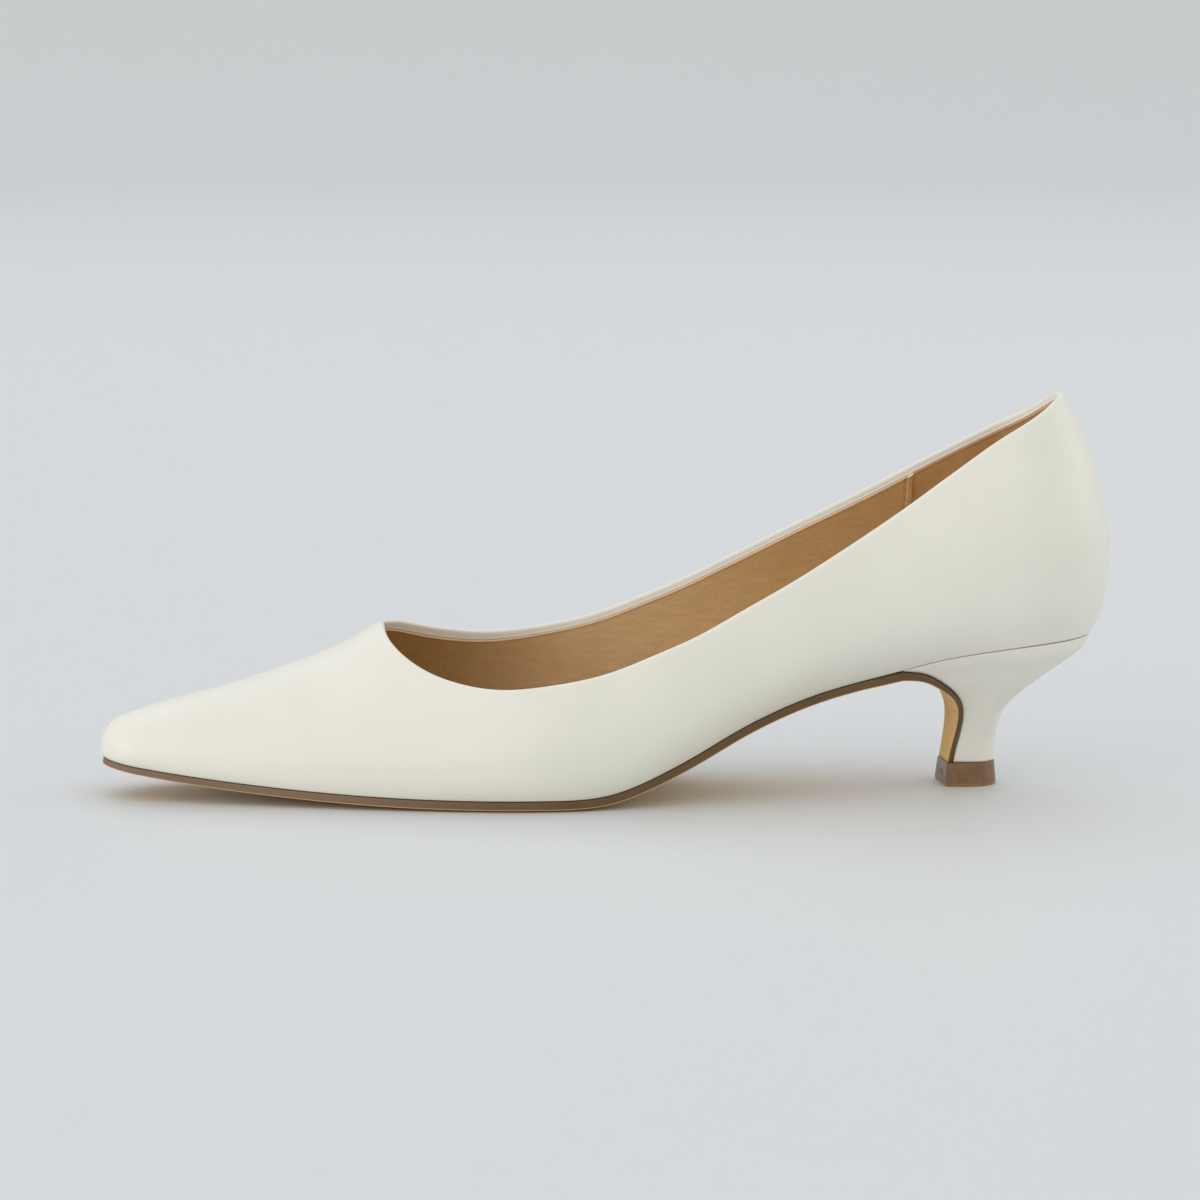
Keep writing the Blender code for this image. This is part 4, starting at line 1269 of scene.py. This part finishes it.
def make_heel_tip(settings):
    """The heel tip: a D that widens evenly down to the floor, with quarter-round arrises."""
    run = np.sin(np.linspace(0, QUARTER, TIP_AROUND))
    bend = np.linspace(0, QUARTER, BEND_STEPS)
    lift, inset = TIP_ARRIS * (1 - np.sin(bend)), TIP_ARRIS * (1 - np.cos(bend))
    straight = np.linspace(TIP_HEIGHT - TIP_ARRIS, TIP_ARRIS, TIP_STEPS)[1:-1]
    height = np.concatenate([TIP_HEIGHT - lift[::-1], straight, lift])[:, None]
    inset = np.concatenate([inset[::-1], np.zeros_like(straight), inset])[:, None]
    margin = TIP_LIP + SOLE_MARGIN + TIP_FLARE * tip_spread(height) - inset
    back = place(TIP_BACK) + TIP_LIP + TIP_RAKE * tip_spread(height) - inset
    x = between(tip_front(height) + inset, back, run)
    halves = []
    for side in (-1, 1):
        y = side * d_half(run, TIP_HALVES[0] + margin, TIP_HALVES[1] + margin)
        shift = turned_breast(y, 1) * (1 - run)
        halves.append(np.stack([x + shift, y, np.broadcast_to(height, y.shape)], axis=-1))
    section = closed_rings(*halves, TIP_FRONT_POINTS)
    # the lowest rows of the arris take the paler colour
    values = {"lightened": np.broadcast_to(height < TIP_ARRIS * 1.2, section.shape[:2])}
    piece = swept_piece("tip_block", section, tip_material(settings), values, capped=True)
    piece.data.set_sharp_from_angle(angle=math.radians(35))
    finish_piece(piece, "tip_brown", "heel_tip")


def make_tip_mark(settings):
    """A raised lozenge moulded on the heel tip's front face: an oval bar swept along its four sides."""
    across = unit(np.array([-math.tan(HEEL_TURN), 1.0, 0.0]))
    outwards = np.array([-across[1], across[0], 0.0])
    middle = np.array([tip_front(MARK_LEVEL) + turned_breast(0.0, 1), 0.0, MARK_LEVEL])
    corners = np.array([[1.0, 0.0], [0.0, 1.0], [-1.0, 0.0], [0.0, -1.0], [1.0, 0.0]])
    corners *= np.array([settings.mark_width, settings.mark_height]) / 2
    step = np.linspace(0, 4, 24, endpoint=False)
    path = np.stack([np.interp(step, np.arange(5), corners[:, i]) for i in (0, 1)], axis=1)
    turn = np.arange(8)[:, None] * math.pi / 4
    flat = path[:, None] - unit(path)[:, None] * MARK_BAR * np.cos(turn)
    upwards = np.array([0.0, 0.0, 1.0])
    section = middle + flat[..., :1] * across + flat[..., 1:] * upwards
    section = section + MARK_RISE * np.sin(turn) * outwards
    # the whole lozenge takes part of the paler colour
    values = {"lightened": np.full(section.shape[:2], 0.6)}
    piece = swept_piece("tip_mark", section, tip_material(settings), values, closed=True)
    finish_piece(piece, "tip_brown")


# Stage


def make_stage(settings):
    """A pale floor that sweeps up into the backdrop, soft lights, and the camera.

    The floor runs level, turns up by a quarter circle and goes on upright: y and z follow that path's length.
    """
    bend = FLOOR_RADIUS * QUARTER
    path = FLOOR_LEVEL + np.linspace(0, bend, 48)
    path = np.concatenate([[0], path, [path[-1] + FLOOR_UPRIGHT]])
    turn = np.clip((path - FLOOR_LEVEL) / FLOOR_RADIUS, 0, QUARTER)
    y = FLOOR_FRONT + np.minimum(path, FLOOR_LEVEL) + FLOOR_RADIUS * np.sin(turn)
    z = FLOOR_RADIUS * (1 - np.cos(turn)) + np.clip(path - FLOOR_LEVEL - bend, 0, None)
    x = np.linspace(-FLOOR_HALF, FLOOR_HALF, 3)[:, None]
    grid = np.stack(np.broadcast_arrays(x, y[None], z[None]), axis=-1)
    mesh = bpy.data.meshes.new("floor_sweep")
    mesh.from_pydata(grid.reshape(-1, 3), [], grid_faces(3, len(path), False, False).tolist())
    mesh.shade_smooth()
    mesh.materials.append(new_material("pale_floor", settings.floor, 0.5))
    add_object("floor_sweep", mesh)

    world = bpy.data.worlds.new("studio")
    world.use_nodes = True
    air = world.node_tree.nodes["Background"].inputs
    air["Color"].default_value = (*settings.air, 1)
    air["Strength"].default_value = 1.0
    bpy.context.scene.world = world
    for name, at, aim, width, height, power, colour in LIGHTS:
        light = bpy.data.lights.new(name, "AREA")
        light.shape = "RECTANGLE"
        light.size, light.size_y = width, height
        light.energy = power
        light.color = colour
        box = add_object(name, light)
        box.location = at
        box.rotation_euler = (Vector(at) - Vector(aim)).to_track_quat("Z", "Y").to_euler()
        box.visible_camera = False

    yaw, pitch = math.radians(settings.camera_yaw), math.radians(settings.camera_pitch)
    back = Vector((-math.sin(yaw) * math.cos(pitch), -math.cos(yaw) * math.cos(pitch), math.sin(pitch)))
    side = Vector((0, 0, 1)).cross(back).normalized()
    turn = Matrix((side, back.cross(side), back)).transposed()
    target = Vector((CAMERA_TARGET[0], MIDDLE_SHIFT, CAMERA_TARGET[1]))
    lens = bpy.data.cameras.new("camera")
    lens.sensor_width = SENSOR_WIDTH
    lens.lens = settings.camera_lens
    camera = add_object("camera", lens)
    camera.matrix_world = Matrix.Translation(target + back * settings.camera_distance) @ turn.to_4x4()
    bpy.context.scene.camera = camera
    bpy.context.scene.view_settings.view_transform = "Standard"


# Add-on


def colour_property(name, description, default):
    return FloatVectorProperty(
        name=name, description=description, default=default, size=3, min=0, max=1, subtype="COLOR"
    )


def length_property(name, description, default, low, high):
    return FloatProperty(
        name=name, description=description, default=default, min=low, max=high, unit="LENGTH"
    )


class PumpSettings(bpy.types.PropertyGroup):
    leather: length_property(
        "Leather", "Thickness of the upper's leather without its lining", 0.0008, 0.0004, 0.0014
    )
    band: length_property(
        "Turned-in band", "How far the leather is turned in at the topline", 0.0024, 0.0015, 0.005
    )
    band_narrowing: FloatProperty(
        name="Band narrowing", description="Share by which the band is narrower behind the throat",
        default=0.27, min=0.0, max=0.5,
    )
    band_lean: length_property(
        "Band lean", "How far the turned-in band leans in towards the foot", 0.0003, 0.0, 0.0006
    )
    seam_place: length_property(
        "Lining seam", "Place along the shoe of the seam between lining and heel grip", 0.0787, 0.04, 0.095
    )
    seam_round: length_property(
        "Seam rounding", "Rounding of the leather along the sole and the heel", 0.00045, 0.0002, 0.001
    )
    back_seam: length_property("Back seam", "Depth of the closed seam behind the heel", 0.00016, 0.0, 0.0004)
    sock_round: length_property(
        "Sock edge", "Rounding of the sock's edge along the lining", 0.0004, 0.0002, 0.001
    )
    mark_width: length_property("Mark width", "Width of the lozenge on the heel tip", 0.0042, 0.001, 0.006)
    mark_height: length_property("Mark height", "Height of the lozenge on the heel tip", 0.0019, 0.001, 0.003)
    arris_radius: length_property("Sole arris", "Radius of the outsole's edges", 0.00028, 0.0001, 0.0006)
    ivory: colour_property("Ivory", "Colour of the leather", (0.855, 0.835, 0.745))
    # painted shade in the groove where the leather meets the heel
    seam: colour_property("Seam line", "Colour where the leather meets the heel", (0.35, 0.28, 0.15))
    # painted light: paler than the lining's own tone, for the middle of the lining, where light falls in
    # through the opening
    lining: colour_property("Lining", "Colour of the lining", (0.82, 0.585, 0.325))
    heel_lining: colour_property("Heel lining", "Colour of the lining towards the heel", (0.66, 0.43, 0.19))
    # painted shade: the browner lining inside the vamp, where little light reaches
    vamp_painted_shade: colour_property("Vamp lining", "Colour of the lining inside the vamp", (0.50, 0.30, 0.115))
    grip: colour_property("Heel grip", "Colour of the napped grip", (0.64, 0.39, 0.16))
    thread: colour_property("Thread", "Colour of the lining's stitches", (0.40, 0.26, 0.14))
    sock: colour_property("Sock", "Colour of the insole's sock", (0.60, 0.41, 0.235))
    sole_face: colour_property("Sole face", "Colour under the sole and down the breast", (0.84, 0.56, 0.21))
    sole_edge: colour_property("Sole edge", "Colour of the sole's painted edge", (0.162, 0.098, 0.046))
    toe_edge: colour_property("Toe edge", "Colour of the sole's edge round the toe", (0.228, 0.152, 0.098))
    arris: colour_property("Sole arris colour", "Colour of the sole's lower arris", (0.80, 0.52, 0.22))
    tip: colour_property("Heel tip", "Colour of the heel tip", (0.18, 0.093, 0.034))


class StageSettings(bpy.types.PropertyGroup):
    floor: colour_property("Floor", "Colour of the floor and backdrop", (0.72, 0.73, 0.745))
    air: colour_property("Air", "Colour and strength of the light from all round", (0.843, 0.855, 0.839))
    camera_yaw: FloatProperty(
        name="Camera turn", description="How far the camera stands round to the toe, in degrees", default=4.5
    )
    camera_pitch: FloatProperty(
        name="Camera height", description="How far the camera looks down, in degrees", default=7.75
    )
    camera_distance: FloatProperty(
        name="Camera distance", description="From the camera to the shoe's middle", default=1.3, unit="LENGTH"
    )
    camera_lens: FloatProperty(
        name="Lens", description="Focal length of the camera", default=157.74, unit="CAMERA"
    )


class PUMP_OT_upper(bpy.types.Operator):
    """Make the leather upper with its rolled topline."""

    bl_idname = "pump.upper"
    bl_label = "Upper"
    bl_options = {"REGISTER", "UNDO"}

    def execute(self, context):
        make_upper(context.scene.pump)
        return {"FINISHED"}


class PUMP_OT_lining(bpy.types.Operator):
    """Make the lining and the heel grip."""

    bl_idname = "pump.lining"
    bl_label = "Lining"
    bl_options = {"REGISTER", "UNDO"}

    def execute(self, context):
        make_lining(context.scene.pump)
        return {"FINISHED"}


class PUMP_OT_insole(bpy.types.Operator):
    """Make the sock over the insole."""

    bl_idname = "pump.insole"
    bl_label = "Insole"
    bl_options = {"REGISTER", "UNDO"}

    def execute(self, context):
        make_insole(context.scene.pump)
        return {"FINISHED"}


class PUMP_OT_outsole(bpy.types.Operator):
    """Make the outsole and its flap down the breast."""

    bl_idname = "pump.outsole"
    bl_label = "Outsole"
    bl_options = {"REGISTER", "UNDO"}

    def execute(self, context):
        make_outsole(context.scene.pump)
        return {"FINISHED"}


class PUMP_OT_heel(bpy.types.Operator):
    """Make the wrapped heel."""

    bl_idname = "pump.heel"
    bl_label = "Heel"
    bl_options = {"REGISTER", "UNDO"}

    def execute(self, context):
        make_heel(context.scene.pump)
        return {"FINISHED"}


class PUMP_OT_heel_tip(bpy.types.Operator):
    """Make the moulded heel tip with its lozenge."""

    bl_idname = "pump.heel_tip"
    bl_label = "Heel Tip"
    bl_options = {"REGISTER", "UNDO"}

    def execute(self, context):
        make_heel_tip(context.scene.pump)
        make_tip_mark(context.scene.pump)
        return {"FINISHED"}


class PUMP_OT_stage(bpy.types.Operator):
    """Make the floor, the lights and the camera."""

    bl_idname = "pump.stage"
    bl_label = "Stage"
    bl_options = {"REGISTER", "UNDO"}

    def execute(self, context):
        make_stage(context.scene.pump_stage)
        return {"FINISHED"}


class PUMP_PT_panel(bpy.types.Panel):
    """Lists the pump's sizes and colours and the operators that make its pieces."""

    bl_idname = "PUMP_PT_panel"
    bl_label = "Kitten Heel Pump"
    bl_space_type = "VIEW_3D"
    bl_region_type = "UI"
    bl_category = "Pump"

    def draw(self, context):
        layout = self.layout
        for settings in (context.scene.pump, context.scene.pump_stage):
            box = layout.box()
            for key in settings.__annotations__:
                box.prop(settings, key)
        for operator in OPERATORS:
            layout.operator(operator.bl_idname)


OPERATORS = (
    PUMP_OT_upper,
    PUMP_OT_lining,
    PUMP_OT_insole,
    PUMP_OT_outsole,
    PUMP_OT_heel,
    PUMP_OT_heel_tip,
    PUMP_OT_stage,
)
CLASSES = (PumpSettings, StageSettings, *OPERATORS, PUMP_PT_panel)


def register():
    for cls in CLASSES:
        bpy.utils.register_class(cls)
    bpy.types.Scene.pump = PointerProperty(type=PumpSettings)
    bpy.types.Scene.pump_stage = PointerProperty(type=StageSettings)


def unregister():
    del bpy.types.Scene.pump_stage
    del bpy.types.Scene.pump
    for cls in reversed(CLASSES):
        bpy.utils.unregister_class(cls)


def main():
    """Makes every piece."""
    register()
    bpy.ops.pump.upper()
    bpy.ops.pump.lining()
    bpy.ops.pump.insole()
    bpy.ops.pump.outsole()
    bpy.ops.pump.heel()
    bpy.ops.pump.heel_tip()
    bpy.ops.pump.stage()


if __name__ == "__main__":
    main()
